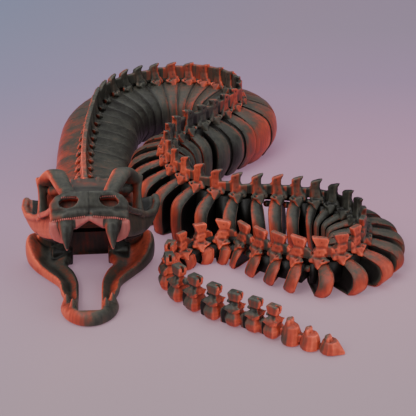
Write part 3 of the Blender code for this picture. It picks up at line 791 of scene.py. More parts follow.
# %% Brows and cheeks
def brows_and_cheeks(p):
    # brow: up and out from the nose, over the eye, and down behind it as a post
    bars(p, [[(0.52, 4.34, 1.62), (1.12, 4.46, 1.54), (1.17, 4.30, 1.16), (0.58, 4.10, 1.21)],
             [(0.78, 3.60, 2.34), (1.54, 3.67, 2.30), (1.56, 3.50, 1.91), (0.83, 3.40, 1.91)],
             [(1.00, 3.00, 2.90), (1.94, 3.02, 2.94), (1.90, 2.88, 2.46), (1.00, 2.83, 2.38)],
             [(1.02, 2.08, 2.86), (2.42, 2.58, 2.66), (2.20, 2.48, 2.22), (1.08, 2.02, 2.30)]])
    bars(p, [[(1.68, 2.22, 2.78), (2.42, 2.68, 2.68), (2.34, 2.22, 2.54), (1.73, 1.82, 2.64)],
             [(1.90, 2.24, 2.00), (2.28, 2.50, 2.00), (2.30, 2.06, 2.00), (1.90, 1.86, 2.00)],
             [(1.86, 2.19, 1.40), (2.28, 2.46, 1.40), (2.34, 1.96, 1.40), (1.88, 1.76, 1.40)],
             [(1.78, 2.24, 0.76), (2.30, 2.56, 0.80), (2.46, 1.86, 0.80), (1.83, 1.76, 0.76)]])
    # rim of the eye's cup: from the post to the snout, and from the post to the flare
    cup = [(2.26, 2.10, 1.03, 0.14), (2.10, 2.80, 0.92, 0.14), (1.80, 3.60, 0.86, 0.14),
           (1.56, 4.30, 0.90, 0.14)]
    rim = [(2.94, 0.26, 2.04, 0.20), (3.00, 0.50, 1.70, 0.18), (2.86, 0.95, 1.26, 0.17),
           (2.50, 1.70, 1.02, 0.15), (2.26, 2.20, 0.96, 0.13)]
    for line in (cup, rim):
        for one, two in zip(line, line[1:]):
            sides(p, [one, two])
    # cheek wall: from behind the lobes out and back, then the flare that hooks up behind
    bars(p, [[(1.50, 4.20, 0.97), (1.50, 4.20, -0.08), (1.22, 4.10, -0.08), (1.28, 4.10, 0.97)],
             [(1.74, 3.20, 0.94), (1.70, 3.20, -0.20), (1.32, 3.10, -0.20), (1.38, 3.10, 0.94)],
             [(2.34, 2.20, 1.02), (2.20, 2.10, 0.00), (1.70, 1.95, 0.00), (1.86, 2.05, 1.02)],
             [(2.84, 1.30, 1.24), (2.64, 1.25, 0.36), (2.04, 1.00, 0.36), (2.36, 1.05, 1.24)],
             [(3.14, 0.62, 1.76), (2.94, 0.78, 1.02), (2.46, 0.32, 0.92), (2.62, 0.32, 1.76)],
             [(2.98, 0.34, 2.10), (3.06, 0.48, 1.56), (2.58, 0.00, 1.50), (2.60, 0.10, 2.10)]])
    bars(p, [[(2.86, 0.42, 2.12), (2.90, 0.50, 1.10), (2.70, 0.15, 1.10), (2.72, 0.15, 2.12)],
             [(2.35, 0.60, 2.06), (2.40, 0.90, 0.60), (2.25, 0.20, 0.70), (2.25, 0.10, 2.00)],
             [(1.60, 0.90, 2.10), (1.60, 1.20, 0.30), (1.60, 0.10, 0.40), (1.60, 0.10, 2.00)],
             [(0.90, 1.00, 2.10), (0.90, 1.40, 0.40), (0.90, 0.25, 0.50), (0.90, 0.25, 2.00)]])


brows_and_cheeks(skull_lump)
print("with brows and cheeks:", len(skull_lump.mesh.verts), "points")

# %% [markdown]
# ## Fangs and nostrils
# The fangs are lofts through ever smaller rings. The nostrils are carved out as prisms, and small
# ticks are cut into their upper rims.

# %% Fangs and nostrils
FANG_AT, FANG_ROUND = (0.965, 4.80), (0.345, 0.29)


def fangs(p):
    """Rings at (height, size, how far forward the fang bends there)."""
    rows = ((0.30, 1.0, -0.05), (0.05, 0.96, 0.04), (-0.28, 0.80, 0.08), (-0.58, 0.55, 0.06),
            (-0.85, 0.30, 0.0), (-1.01, 0.10, -0.04))
    for s in (-1, 1):
        p.loft([[skull_place(s * (FANG_AT[0] + FANG_ROUND[0] * r * c),
                             FANG_AT[1] + o + FANG_ROUND[1] * r * d, w)
                 for c, d in circle(16)] for w, r, o in rows])


def skull_hollows(h):
    nostril = ((0.42, 1.16), (0.80, 1.20), (1.15, 1.16), (1.27, 1.02), (1.20, 0.86),
               (0.95, 0.77), (0.66, 0.83), (0.50, 0.97))
    for s in (-1, 1):
        h.hull([skull_place(s * l, f, w) for f in (4.45, 5.4) for l, w in nostril])
        for n in range(8):
            l = 0.52 + 0.085 * n
            h.hull([skull_place(s * (l + a), f, w) for a in (-0.022, 0.022) for f in (4.93, 5.3)
                    for w in (1.10, 1.27)])


fangs(skull_lump)
skull_hollows(carved)
skull = melt(skull_lump, "skull_bone", HEAD_VOXEL, 8, carved)
print("skull:", len(skull.data.polygons), "faces")

# %% [markdown]
# ## The lower jaw
# The jaw lies flat: two bars that spread behind into tall thin walls with a trough between them,
# and meet in a chin with two teeth on each side. Each row of the table holds the outer and the
# inner point of a bar, (l, f), then the height of its wall and of its inner edge.

# %% Jaw
CHIN_FROM = 4.3
JAW_ROWS = [((2.50, -1.15), (1.48, -1.05), 1.15, 1.20),
            ((2.92, -0.55), (1.04, -0.62), 1.25, 1.00),
            ((2.88, 0.05), (0.82, 0.02), 0.98, 0.62),
            ((2.52, 0.78), (1.05, 0.45), 0.62, 0.30),
            ((2.02, 1.50), (0.76, 1.20), 0.50, 0.32),
            ((1.42, 2.36), (0.54, 2.20), 0.44, 0.34),
            ((1.27, 3.10), (0.50, 3.10), 0.36, 0.34),
            ((1.12, 3.72), (0.50, 3.80), 0.34, 0.32),
            ((1.25, 4.42), (0.50, 4.50), 0.52, 0.42),
            ((1.12, 5.02), (0.50, 5.10), 0.58, 0.48),
            ((0.84, 5.46), (0.48, 5.38), 0.60, 0.50),
            ((0.42, 5.80), (0.40, 5.44), 0.60, 0.50),
            ((0.00, 5.90), (0.00, 5.44), 0.60, 0.50)]


def jaw_ring(outer, inner, up, edge):
    """A ring round the bar, through (share of the way from outer to inner, height) points."""
    if outer[1] > CHIN_FROM:
        profile = [(0.03, -0.03), (-0.02, 0.35 * up), (0.08, 0.66 * up), (0.24, 0.84 * up),
                   (0.44, 0.96 * up), (0.64, 1.02 * up), (0.84, 1.02 * up), (0.96, up),
                   (1.02, 0.7 * up), (1.0, -0.03)]
    else:
        profile = [(0.03, -0.03), (-0.02, 0.55 * up), (0.02, 1.04 * up), (0.15, 1.02 * up),
                   (0.34, 0.35 * up + 0.3 * edge), (0.58, 0.5 * edge), (0.78, 0.85 * edge),
                   (0.90, 1.05 * edge), (1.02, 0.8 * edge), (0.98, -0.03)]
    return [(*(o + (n - o) * share for o, n in zip(outer, inner)), z) for share, z in profile]


def jaw_pieces(p):
    half = [jaw_ring(*row) for row in JAW_ROWS]
    rings = half + [[(-l, f, z) for l, f, z in ring] for ring in reversed(half[:-1])]
    p.bar(lambda l, f, z: jaw_place(l, f, max(z, 0.0)), rings)
    for s in (-1, 1):
        # hinge block, two teeth, and the end of the tall wall
        p.blob(jaw_place, [(s * l, f, z, 0.07) for l in (0.88, 1.68)
                           for f, z in ((0.02, 0.07), (-0.55, 0.07), (-0.55, 0.56), (-0.04, 0.56))])
        for l, f, up in ((0.98, 4.50, 0.90), (0.70, 5.06, 0.98)):
            p.blob(jaw_place, [(s * l, f, 0.34, 0.23), (s * l, f + 0.02, up - 0.05, 0.05)])
        p.blob(jaw_place, [(s * l, f, z, 0.08) for l in (1.6, 2.35) for f in (-0.95, -0.75)
                           for z in (0.1, 1.12)])


jaw_lump = Lump()
jaw_pieces(jaw_lump)
jaw = melt(jaw_lump, "jaw_bone", HEAD_VOXEL, 4)
print("jaw:", len(jaw.data.polygons), "faces")

# %% [markdown]
# ## Two-tone silk plastic
# The filament is red on one side and charcoal on the other, and the nozzle doesn't turn it, so a
# wall's colour depends on the way that it faces. Each vertex carries the direction in which its
# own bone is reddest, and a share that makes the whole bone redder or greyer. The shader compares
# the direction with the surface's own, and runs the result through a ramp.

# %% Directions of the red side
# the way that the red side faces, in degrees, how strongly, and how far it faces up
RED_TURN = [(0, 180), (13, 178), (17, 150), (19, 20), (21, -25), (24, -15), (27, 0), (28, 15),
            (29, 60), (30, 120), (31, 210), (36, 195), (43, 200), (46, 270), (50, 300), (53, 315),
            (58, 300), (61, 305), (64, 325), (70, 325)]
RED_FORCE = [(0, 1.0), (14, 0.95), (20, 0.8), (25, 0.9), (32, 0.9), (44, 0.8), (48, 0.5),
             (52, 0.6), (58, 0.7), (66, 0.9), (70, 0.8)]
RED_UP = [(0, -0.1), (14, -0.1), (20, 0.0), (30, -0.1), (45, -0.2), (52, -0.4), (58, -0.3),
          (63, -0.6), (67, -0.5), (70, -0.1)]
# what the blocks and the columns gain or lose in redness, and the painted shade of the links
RED_SHARE = [(0, 0.06), (6, 0.03), (12, -0.08), (17, -0.15), (20, -0.07), (23, 0.05),
             (24, -0.01), (25, -0.06), (26, -0.07), (28, -0.06), (30, -0.03), (31, -0.08),
             (33, 0.02), (38, 0.0), (42, -0.04), (43, -0.10), (45, -0.16), (47, -0.04),
             (50, 0.12), (53, 0.22), (57, 0.20), (60, 0.08), (63, 0.0), (66, 0.04), (68, 0.18),
             (70, 0.22)]
COLUMN_SHARE = [(0, 0.20), (9, 0.15), (13, 0.06), (16, 0.10), (21, 0.17), (24, 0.17),
                (25, 0.04), (26, -0.06), (28, 0.04), (31, 0.02), (33, 0.04), (38, 0.05),
                (43, 0.02), (44, -0.12), (45, -0.30), (47, -0.30), (49, -0.06), (50, 0.02),
                (52, 0.06), (70, 0.02)]
LINK_SHADE = [(0, 0.04), (24, 0.05), (28, 0.30), (59, 0.38)]
# a small random share for each vertebra
draw = random.Random(7)
JITTER = [draw.uniform(-0.06, 0.06) for _ in range(COUNT)]
print("reddest vertebra:", int(np.argmax([along(RED_SHARE, i) for i in range(COUNT)])))

# %% [markdown]
# ## Values on the points
# The shader reads its values from attributes of the points. One of them, the relief, says how far
# a point stands out of its surroundings: edges get a painted highlight, and creases painted shade.

# %% Attributes and relief
def put(obj, name, values):
    """Writes one number or one vector for each point."""
    values = np.asarray(values, np.float32)
    kind, key = ("FLOAT_VECTOR", "vector") if values.ndim == 2 else ("FLOAT", "value")
    obj.data.attributes.new(name, kind, "POINT").data.foreach_set(key, values.ravel())


def rows_of(items, key):
    flat = np.zeros(len(items) * 3, np.float32)
    items.foreach_get(key, flat)
    return flat.reshape(-1, 3).astype(float)


def places(obj):
    return rows_of(obj.data.vertices, "co")


def normals(obj):
    return rows_of(obj.data.vertex_normals, "vector")


def step(value, low, high):
    """Rises smoothly from 0 to 1 between two values."""
    t = np.clip((value - low) / (high - low), 0.0, 1.0)
    return t * t * (3 - 2 * t)


def relief(obj, rounds=8, full=0.00012):
    """Edges get 1 and creases -1, where a point is 0.12 mm away from its smoothed place."""
    spots = places(obj)
    pairs = np.zeros(len(obj.data.edges) * 2, np.int32)
    obj.data.edges.foreach_get("vertices", pairs)
    here, there = np.concatenate([pairs.reshape(-1, 2), pairs.reshape(-1, 2)[:, ::-1]]).T
    many = np.maximum(np.bincount(here, minlength=len(spots)), 1)
    mean = spots
    for _ in range(rounds):
        mean = np.stack([np.bincount(here, mean[there, c], len(spots)) / many for c in range(3)], 1)
    out = ((spots - mean) * normals(obj)).sum(1) / full
    put(obj, "relief", np.clip(out, -1.0, 1.0))


for piece in bones + [skull, jaw]:
    relief(piece)
print("relief on", len(bones) + 2, "pieces")

# %% [markdown]
# ## Colours of the chain
# Each point takes the direction and the share of the vertebra that is nearest to it. Links and
# the creases round the pillars are darker than the columns, as painted shade, and the tops of the
# tail's blocks are darker too.

# %% Chain
def table_of(table):
    return np.array([along(table, i) for i in range(COUNT)])


def colour_chain(obj, owners, extra):
    turn, force = np.radians(table_of(RED_TURN)), table_of(RED_FORCE)
    sides = np.stack([force * np.cos(turn), force * np.sin(turn), table_of(RED_UP)], axis=1)
    shares = table_of(RED_SHARE) + np.array(JITTER)
    put(obj, "red_side", sides[owners])
    put(obj, "red_share_and_shade", shares[owners] + extra)


def own_places(obj, first, number):
    """For each point: its vertebra, how far ahead of it, and how far below its tip it lies."""
    spots = places(obj) / LINK + np.array([*MIDDLE, 0.0])
    near = spots[:, None, :2] - np.array(STATIONS)[None, first:first + number, :2]
    nearest = first + np.argmin((near ** 2).sum(2), axis=1)
    x, y, turned = np.array(STATIONS)[nearest].T
    ahead = (x - spots[:, 0]) * np.cos(turned) + (y - spots[:, 1]) * np.sin(turned)
    return nearest, ahead, table_of(TALL)[nearest] - spots[:, 2]


def band(below, high, low, soft, fade):
    """A mask between two depths below the tip."""
    return step(below, high, high + soft) * step(low - below, 0.0, fade)


first = 0
for n, (_, number) in enumerate(LENGTHS):
    nearest, ahead, below = own_places(bones[n], first, number)
    blocks, nubs = nearest >= BLOCKS_FROM, nearest >= COUNT - NUBS
    # painted shade on the links ahead of and below each column
    dark = np.where(blocks, 0.25 + 0.45 * step(below, 0.8, 1.0), table_of(LINK_SHADE)[nearest])
    dark = np.where(nubs, 0.0, dark) * step(ahead, 0.24, 0.36) * step(below, 0.40, 0.60)
    # painted shade in the creases round the pillars
    crease = np.where(blocks, band(below, 0.36, 0.62, 0.06, 0.08),
                      np.maximum(band(below, 0.40, 0.57, 0.05, 0.05),
                                 band(below, 0.84, 1.0, 0.04, 0.05)))
    dark += 0.14 * crease * (nearest >= KNOTS_FROM) * ~nubs
    dark += 0.10 * blocks * step(0.12 - below, 0.0, 0.1)
    colour_chain(bones[n], nearest, table_of(COLUMN_SHARE)[nearest] - dark)
    if n < len(ribs):
        colour_chain(ribs[n], np.array(rib_parts[n].owners), np.array(rib_parts[n].reds))
    first += number
print("coloured", len(bones) + len(ribs), "pieces of the chain")

# %% [markdown]
# ## Colours of the face
# The head is coloured by the same rule, with a few more: its lobes are pink below the line of the
# lip, and the snout, the fangs and a seam in the middle are charcoal. Each rule is a product of
# soft masks, over the side, the distance forward and the height of the points and their normals.

# %% Face colours
def head_frame(obj, tilted):
    """Each vertex and its normal in the skull's or the jaw's own place."""
    q, p = HEAD_YAW, SKULL_PITCH
    spot = places(obj) / LINK + np.array([MIDDLE[0] - HEAD_AT[0], MIDDLE[1] - HEAD_AT[1], 0.0])
    turned = []
    for v, shift in ((spot, 1.0), (normals(obj), 0.0)):
        l = v[:, 0] * math.cos(q) + v[:, 1] * math.sin(q)
        f = v[:, 0] * math.sin(q) - v[:, 1] * math.cos(q)
        z = v[:, 2]
        if tilted:
            l, z = l - shift * SKULL_ASIDE, z - shift * HINGE_UP
            f, z = f * math.cos(p) + z * math.sin(p), z * math.cos(p) - f * math.sin(p)
        turned.append((l, f, z))
    return turned


def under(value, high, soft):
    """1 below a limit and 0 above it."""
    return step(high - value, 0.0, soft)


(l, f, w), (nl, nf, nw) = head_frame(skull, True)
side, out = np.abs(l), nl * np.sign(l)
share = np.full(len(l), -0.05)
lip = 0.41 - 0.10 * side
lobe = step(f, 4.0, 4.25) * step(lip - w, -0.015, 0.025) * step(nf, -0.5, 0.0)
share += 0.20 * lobe
taper = np.interp(w, [-1.01, -0.85, -0.58, -0.28, 0.05, 0.30],
                  [0.10, 0.30, 0.55, 0.80, 0.96, 1.0])
near = np.hypot((side - FANG_AT[0]) / FANG_ROUND[0], (f - 4.85) / FANG_ROUND[1])
fang = under(near / taper, 1.28, 0.1) * under(w, 0.30, 0.05) * step(f, 4.55, 4.62)
share += (-0.14 - share) * fang
plate_mask = step(f, 4.3, 4.6) * step(w - lip, -0.02, 0.02) * step(nf, 0.1, 0.5)
share -= (0.04 + 0.05 * step(-l, 0.9, 1.3)) * plate_mask
share -= 0.12 * plate_mask * under(side, 0.05, 0.03) * step(w, 0.5, 0.6)
nostril = under(f, 4.80, 0.06) * step(f, 4.35, 4.4) * step(side, 0.3, 0.4) * under(side, 1.4, 0.1)
share += 0.30 * nostril * step(w, 0.7, 0.76) * under(w, 1.26, 0.05)
print("pink on", int((lobe > 0.5).sum()), "of", len(l), "points")

# %% [markdown]
# ## Colours behind the face
# The walls of the eye sockets are red above and black below, the black being painted shade, and
# the roof of the mouth and the back of the head are darkened with painted shade. Redder are the
# cheeks, the outer edge of the left brow and the inner edge of the right one.

# %% Colours of sockets, cheeks and brows
# the walls of the eye sockets: red above, and black below as painted shade
wall = step(f, 1.3, 1.7) * under(f, 4.2, 0.3) * under(side, 1.22, 0.08) * step(out, 0.3, 0.6)
behind = (under(f, 2.05, 0.1) * step(f, 1.2, 1.4) * step(nf, 0.2, 0.5) * under(side, 2.1, 0.1)
          * step(side, 0.95, 1.05))
share += (np.maximum(wall, behind) * under(w, 2.5, 0.1)
          * np.interp(w, [0.9, 1.3, 1.6, 2.2], [-0.70, -0.25, 0.35, 0.20]))
# painted shade on forward-facing walls at the back of the head
share -= (0.60 * under(f, 1.1, 0.15) * step(nf, 0.1, 0.4) * step(side, 1.0, 1.1)
          * under(side, 2.68, 0.1))
# painted shade on the roof of the mouth
roof = (under(w, 0.64, 0.1) * step(-nw, 0.3, 0.7) * (1 - lobe) * under(f, 4.7, 0.1)
        * under(side, 1.5, 0.1))
share -= 0.08 * roof
share += (np.where(l < 0, 0.13, 0.05) * step(side, 1.5, 1.6) * step(out, 0.1, 0.4)
          * under(w, 1.9, 0.3) * step(f, 0.5, 1.0))
share += 0.22 * step(-l, 2.4, 2.7) + 0.22 * step(-l, 1.6, 2.0) * step(w, 2.3, 2.6)
# painted shade at the back of the head, and low down behind the eyes
share -= 0.45 * under(side, 2.68, 0.1) * step(side, 1.5, 1.6) * under(f, 1.15, 0.1)
share -= 0.45 * under(f, 1.75, 0.1) * under(w, 0.75, 0.2) * under(side, 2.5, 0.1)
inner = np.interp(f, [3.0, 3.6, 4.34], [1.02, 0.80, 0.56])
outer = np.interp(f, [2.6, 3.0, 3.6, 4.4], [2.36, 1.90, 1.52, 1.14])
eye_line = np.interp(f, [2.6, 3.0, 3.6, 4.4], [2.3, 2.4, 1.95, 1.5])
brow = step(w - eye_line, 0.0, 0.08) * step(f, 2.0, 2.4) * step(side - inner, -0.04, 0.0)
share += 0.30 * brow * np.where(l > 0, under(side, inner + 0.34, 0.25),
                                step(side - outer + 0.14, 0.0, 0.25))
share += 0.16 * step(w - 1.8, 0.0, 0.2) * under(side, 1.1, 0.1) * under(f, 3.4, 0.5)
# painted light: the tops of the brows are lighter, as light falls from above
share += 0.05 * step(w - 1.6, 0.0, 0.3) * step(side, 0.9, 1.1)
put(skull, "red_side", np.tile((-0.95, 0.0, -0.45), (len(l), 1)))
put(skull, "red_share_and_shade", share)
put(skull, "pink", 0.85 * lobe * (1 - fang))
print("skull's share of red from", round(share.min(), 2), "to", round(share.max(), 2))

# %% [markdown]
# ## Colours of the jaw
# The trough of the jaw is dark on the left and redder on the right, its tall wall on the left
# is red, and the inner sides of the bars and the hinge blocks are darkened with painted shade.

# %% Jaw colours
(l, f, z), (_, _, nz) = head_frame(jaw, False)
side = np.abs(l)
share = 0.02 + 0.05 * step(f, 1.0, 1.6) * under(f, 4.0, 0.3)
share -= np.where(l < 0, 0.04, -0.14) * step(nz, 0.3, 0.8) * under(f, 1.8, 0.6)
share += 0.30 * step(-l, 2.1, 2.4) * step(z, 0.3, 0.6)
middle = np.interp(f, [0.5, 1.5, 3.0, 4.0], [1.7, 1.4, 0.92, 0.85])
# painted shade on the inner side of the bar and on the hinge blocks
share -= 0.15 * step(-l, 0.0, 0.1) * under(side, middle + 0.1, 0.2) * under(f, 4.2, 0.3)
share -= 0.35 * under(side, 1.85, 0.1) * under(f, 0.2, 0.1)
put(jaw, "red_side", np.tile((-1.0, -0.1, 0.0), (len(l), 1)))
put(jaw, "red_share_and_shade", share)
print("jaw's share of red from", round(share.min(), 2), "to", round(share.max(), 2))

# %% [markdown]
# ## Ticks
# Fine pale ticks lie under the upper rim of each nostril and along the ragged edge of the lip. A
# ray finds the skin of the skull for each of them.

# %% Ticks
BOX_CORNERS = [(a, b, c) for a in (-1, 1) for b in (-1, 1) for c in (-1, 1)]
BOX_FACES = ((0, 1, 3, 2), (4, 6, 7, 5), (0, 4, 5, 1), (2, 3, 7, 6), (0, 2, 6, 4), (1, 5, 7, 3))


def where_hit(start, towards):
    """The first place where a line in the skull's own place meets its skin, as a share of it."""
    one, two = Vector(skull_place(*start)), Vector(skull_place(*towards))
    hit, spot, _, _ = skull.ray_cast(one, (two - one).normalized())
    return (spot - one).length / (two - one).length if hit else 0.0


bpy.context.view_layer.update()
boxes = []        # place and half size of each tick
for s in (-1, 1):
    for n in range(9):
        l = s * (0.50 + 0.078 * n)
        rim = 1.0 + where_hit((l, 4.96, 1.0), (l, 4.96, 2.0))
        boxes.append(((l, 4.86, rim), (0.016, 0.12, 0.035)))
    for n in range(17):
        l = s * (0.20 + 0.083 * n)
        w = 0.40 - 0.10 * abs(l)
        boxes.append(((l, 6.0 - where_hit((l, 6.0, w), (l, 5.0, w)), w), (0.022, 0.04, 0.04)))
verts = [skull_place(*(c + q * h for c, q, h in zip(at, corner, half)))
         for at, half in boxes for corner in BOX_CORNERS]
faces = [tuple(8 * n + k for k in face) for n in range(len(boxes)) for face in BOX_FACES]
ticks = solid("skull_ticks", verts, faces)
put(ticks, "red_side", np.zeros((len(verts), 3)))
# a relief of 0.5 lightens the ticks with the painted edge highlight
for name, value in (("red_share_and_shade", 0.15), ("pink", 0.8), ("relief", 0.5)):
    put(ticks, name, np.full(len(verts), value))
print(len(boxes), "ticks")

# %% [markdown]
# ## Making shaders
# A few helpers keep the shaders short. They make a node and feed its sockets, a ramp of colours,
# a mix of two colours, and a group whose outputs the materials use.

# %% Shader helpers
def feed(tree, socket, value):
    """Links another socket, or sets a constant."""
    if isinstance(value, bpy.types.NodeSocket):
        tree.links.new(value, socket)
    else:
        socket.default_value = value


def node(tree, kind, sockets=(), **settings):
    """A node with its settings; sockets are (name or number, value) pairs."""
    made = tree.nodes.new(kind)
    for key, value in settings.items():
        setattr(made, key, value)
    for key, value in sockets:
        feed(tree, made.inputs[key], value)
    return made


def maths(tree, kind, *values):
    return node(tree, "ShaderNodeMath", list(enumerate(values)), operation=kind).outputs[0]


def attribute(tree, name):
    return node(tree, "ShaderNodeAttribute", attribute_name=name)


def ramp_colours(tree, stops, value):
    made = node(tree, "ShaderNodeValToRGB", [("Fac", value)])
    elements = made.color_ramp.elements
    while len(elements) > 1:
        elements.remove(elements[-1])
    elements[0].position, elements[0].color = stops[0][0], (*stops[0][1], 1.0)
    for where, colour in stops[1:]:
        elements.new(where).color = (*colour, 1.0)
    return made.outputs["Color"]


def mix(tree, share, one, two):
    return node(tree, "ShaderNodeMix", [("Factor", share), ("A", one), ("B", two)],
                data_type="RGBA").outputs["Result"]


def group_of(name, **kinds):
    """A group with output sockets of the kinds given by name."""
    group = bpy.data.node_groups.new(name, "ShaderNodeTree")
    for key, kind in kinds.items():
        group.interface.new_socket(key, in_out="OUTPUT", socket_type="NodeSocket" + kind)
    return group


# colours of the filament from one side to the other, and the blush of the lobes
STOPS = [(0.0, (0.006, 0.005, 0.004)), (0.20, (0.015, 0.014, 0.011)),
         (0.38, (0.049, 0.050, 0.040)), (0.50, (0.086, 0.062, 0.046)),
         (0.60, (0.180, 0.058, 0.039)), (0.72, (0.34, 0.060, 0.037)),
         (0.86, (0.52, 0.074, 0.040)), (1.0, (0.76, 0.130, 0.066))]
PINK = (0.44, 0.120, 0.108, 1.0)
print("the filament's ramp has", len(STOPS), "colours")

# %% [markdown]
# ## The colour of the silk
# One group turns the direction into colour: a ramp from charcoal through a greenish grey and a
# brown to salmon red, streaked along the height as the real plastic is. Noise moves the border
# between the two tones, a blush lies over the pink points, and edges get a painted highlight and
# creases painted shade.

# %% Two-tone group
GREY_FLOOR = 0.38            # a side that faces away from the red one stays at the ramp's grey
MOTTLE = 0.42                # how far the noise moves the border between the tones


def two_tone():
    group = group_of("two_tone", Colour="Color", Rough="Float")
    surface = node(group, "ShaderNodeNewGeometry").outputs["Normal"]
    red_side = attribute(group, "red_side").outputs["Vector"]
    facing = node(group, "ShaderNodeVectorMath", [(0, surface), (1, red_side)],
                  operation="DOT_PRODUCT").outputs["Value"]
    spot = node(group, "ShaderNodeTexCoord").outputs["Object"]
    stretch = node(group, "ShaderNodeVectorMath", [(0, spot), (1, (1.0, 1.0, 0.12))],
                   operation="MULTIPLY").outputs["Vector"]
    streak = node(group, "ShaderNodeTexNoise",
                  [("Scale", 900.0), ("Detail", 3.0), ("Vector", stretch)]).outputs["Fac"]
    patch = node(group, "ShaderNodeTexNoise",
                 [("Scale", 160.0), ("Detail", 2.0), ("Vector", spot)]).outputs["Fac"]
    one, two = (maths(group, "MULTIPLY", maths(group, "SUBTRACT", noise, 0.5), MOTTLE)
                for noise in (streak, patch))
    total = maths(group, "MULTIPLY_ADD", facing, 0.5, 0.5)
    total = maths(group, "SMOOTH_MAX", total, GREY_FLOOR, 0.1)
    # the share holds the redness and also the painted shade of dishes, cores, links, creases and
    # hollows
    total = maths(group, "ADD", total, attribute(group, "red_share_and_shade").outputs["Fac"])
    total = maths(group, "ADD", total, maths(group, "ADD", one, two))
    blush = maths(group, "MULTIPLY", attribute(group, "pink").outputs["Fac"],
                  maths(group, "MULTIPLY_ADD", streak, 1.0, 0.4))
    colour = mix(group, blush, ramp_colours(group, STOPS, total), PINK)
    # painted highlight on edges and painted shade in creases, scaled from the relief
    edge_light_and_crease_shade = maths(group, "MULTIPLY_ADD", attribute(group, "relief").outputs["Fac"], 0.65, 1.0)
    lit_edges_shaded_creases = node(group, "ShaderNodeVectorMath",
                [(0, colour), ("Scale", maths(group, "MAXIMUM", edge_light_and_crease_shade, 0.2))], operation="SCALE")
    node(group, "NodeGroupOutput", [("Colour", lit_edges_shaded_creases.outputs["Vector"]),
                                    ("Rough", maths(group, "MULTIPLY_ADD", streak, 0.16, 0.42))])
    return group


TWO_TONE = two_tone()
print("two-tone group:", len(TWO_TONE.nodes), "nodes")

# %% [markdown]
# ## Printed layers
# A second group gives the printed layers, 0.2 mm apart, as a fine bump along the height.

# %% Layer group
LAYER = 0.0002


def layers():
    group = group_of("layers", Normal="Vector")
    spot = node(group, "ShaderNodeTexCoord").outputs["Object"]
    height = node(group, "ShaderNodeSeparateXYZ", [(0, spot)]).outputs["Z"]
    wave = maths(group, "SINE", maths(group, "MULTIPLY", height, 2 * math.pi / LAYER))
    bump = node(group, "ShaderNodeBump",
                [("Strength", 0.25), ("Distance", 0.15 * LAYER), ("Height", wave)])
    node(group, "NodeGroupOutput", [("Normal", bump.outputs["Normal"])])
    return group


LAYERS = layers()
print("layer group:", len(LAYERS.nodes), "nodes")

# %% [markdown]
# ## Materials
# Every piece has the same silk. Only the roof of the mouth gets a dull one without any shine, so
# that it stays dark.

# %% Silk
def silk(name, coat=0.04, shine=0.35, sheen=0.06):
    paint = bpy.data.materials.new(name)
    paint.use_nodes = True
    tree = paint.node_tree
    tone = node(tree, "ShaderNodeGroup", node_tree=TWO_TONE).outputs
    lines = node(tree, "ShaderNodeGroup", node_tree=LAYERS).outputs
    for key, value in (("Base Color", tone["Colour"]), ("Roughness", tone["Rough"]),
                       ("Normal", lines["Normal"]), ("Coat Weight", coat),
                       ("Coat Roughness", 0.4), ("Specular IOR Level", shine),
                       ("Sheen Weight", sheen), ("Sheen Roughness", 0.4),
                       ("Sheen Tint", (1.0, 0.86, 0.86, 1.0))):
        feed(tree, tree.nodes["Principled BSDF"].inputs[key], value)
    return paint


silk_paint = silk("silk_two_tone")
for obj in bones + ribs + [skull, ticks, jaw]:
    obj.data.materials.clear()
    obj.data.materials.append(silk_paint)

skull.data.materials.append(silk("silk_two_tone_dull", 0.0, 0.0, 0.0))
corners = np.zeros(len(skull.data.loops), np.int32)
skull.data.loops.foreach_get("vertex_index", corners)
starts = np.zeros(len(skull.data.polygons), np.int32)
skull.data.polygons.foreach_get("loop_start", starts)
dull = roof[corners[starts]] > 0.5
skull.data.polygons.foreach_set("material_index", dull.astype(np.int32))
print("dull faces on the roof of the mouth:", int(dull.sum()))

# %% [markdown]
# ## Everything rides on the one body
# The toy lies still as one body, and each piece takes the place of its own solid.

# %% Riding and replacing
for n, (name, _) in enumerate(LENGTHS):
    for group in (bones, ribs):
        if n < len(group):
            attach(group[n], "root")
            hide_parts(name)
for obj, name in ((skull, "skull"), (ticks, "skull"), (jaw, "lower_jaw")):
    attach(obj, "root")
    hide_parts(name)
print("pieces on the body:", len(bones) + len(ribs) + 3)

# %% [markdown]
# ## Floor
# The toy stands on a plain pale floor, pink-grey in front, mauve behind, and bluish far to the
# left. It glows a little, so that the toy's shadow stays soft.

# %% Floor
BLUISH = (0.160, 0.182, 0.280, 1.0)
MAUVES = [(0.14, (0.302, 0.217, 0.252)), (0.28, (0.352, 0.226, 0.275)),
          (0.45, (0.368, 0.210, 0.290)), (0.59, (0.338, 0.195, 0.287)),
          (0.80, (0.252, 0.174, 0.264)), (1.0, (0.226, 0.174, 0.242))]
floor_mesh = bpy.data.meshes.new("floor")
floor_mesh.from_pydata([(-6, -6, 0), (6, -6, 0), (6, 6, 0), (-6, 6, 0)], [], [(0, 1, 2, 3)])
floor = linked("floor", floor_mesh)
floor.location.z = -0.0002


def backdrop():
    group = group_of("backdrop", Colour="Color")
    spot = node(group, "ShaderNodeTexCoord").outputs["Object"]
    parts = node(group, "ShaderNodeSeparateXYZ", [(0, spot)]).outputs
    mauve = ramp_colours(group, MAUVES, maths(group, "MULTIPLY_ADD", parts["Y"], 2.3, 0.45))
    blue = maths(group, "ADD", maths(group, "MULTIPLY", parts["X"], -5.0),
                 maths(group, "MULTIPLY", parts["Y"], 1.2))
    blue = maths(group, "SUBTRACT", blue, 0.10)
    blue.node.use_clamp = True
    node(group, "NodeGroupOutput", [("Colour", mix(group, blue, mauve, BLUISH))])
    return group


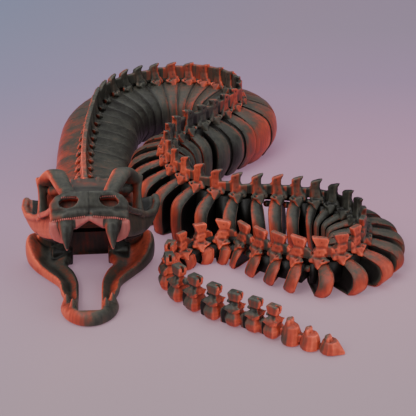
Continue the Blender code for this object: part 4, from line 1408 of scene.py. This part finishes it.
ground = bpy.data.materials.new("pale_floor")
ground.use_nodes = True
tint = node(ground.node_tree, "ShaderNodeGroup", node_tree=backdrop()).outputs["Colour"]
for key, value in (("Base Color", tint), ("Emission Color", tint), ("Emission Strength", 0.55),
                   ("Roughness", 0.95), ("Specular IOR Level", 0.1)):
    feed(ground.node_tree, ground.node_tree.nodes["Principled BSDF"].inputs[key], value)
floor.data.materials.append(ground)
print("the floor lies", round(-floor.location.z * 1000, 2), "mm below the toy")

# %% [markdown]
# ## Light
# Three large lamps and a dim, even world make soft studio light: the strongest comes from the
# front left, a weaker one from the front right, and one from above.

# %% Light
def area_light(name, spot, size, power, colour, target=(0.0, 0.0, 0.01)):
    lamp = bpy.data.lights.new(name, "AREA")
    lamp.energy, lamp.size, lamp.color = power, size, colour
    obj = linked(name, lamp)
    obj.location = spot
    obj.rotation_euler = (Vector(target) - Vector(spot)).to_track_quat("-Z", "Y").to_euler()
    return lamp


lamps = [area_light("key", (-0.45, -0.60, 0.75), 0.60, 6.0, (1.0, 0.98, 0.96)),
         area_light("fill", (0.65, -0.40, 0.50), 0.70, 2.4, (0.97, 0.98, 1.0)),
         area_light("top", (0.0, 0.25, 0.9), 0.80, 4.2, (1.0, 1.0, 1.0))]
world = bpy.data.worlds.new("studio")
world.use_nodes = True
sky = world.node_tree.nodes["Background"].inputs
sky["Color"].default_value, sky["Strength"].default_value = (0.78, 0.79, 0.82, 1), 0.22
bpy.context.scene.world = world
print("lamps of", [round(lamp.energy, 1) for lamp in lamps], "watts")

# %% [markdown]
# ## Camera
# A long lens looks down at the toy from the front, 24.5 degrees above the horizon.

# %% Camera
CAMERA_TILT, CAMERA_FAR = math.radians(24.5), 65.0 * LINK
target = Vector((-MIDDLE[0] * LINK, -MIDDLE[1] * LINK, 0.0))
lens = bpy.data.cameras.new("camera")
lens.lens, lens.sensor_width, lens.clip_start = 111.4, 36.0, 0.01
camera = linked("camera", lens)
camera.location = target + Vector((0, -math.cos(CAMERA_TILT), math.sin(CAMERA_TILT))) * CAMERA_FAR
camera.rotation_euler = (target - camera.location).to_track_quat("-Z", "Y").to_euler()
bpy.context.scene.camera = camera
print("camera at", [round(c, 3) for c in camera.location])
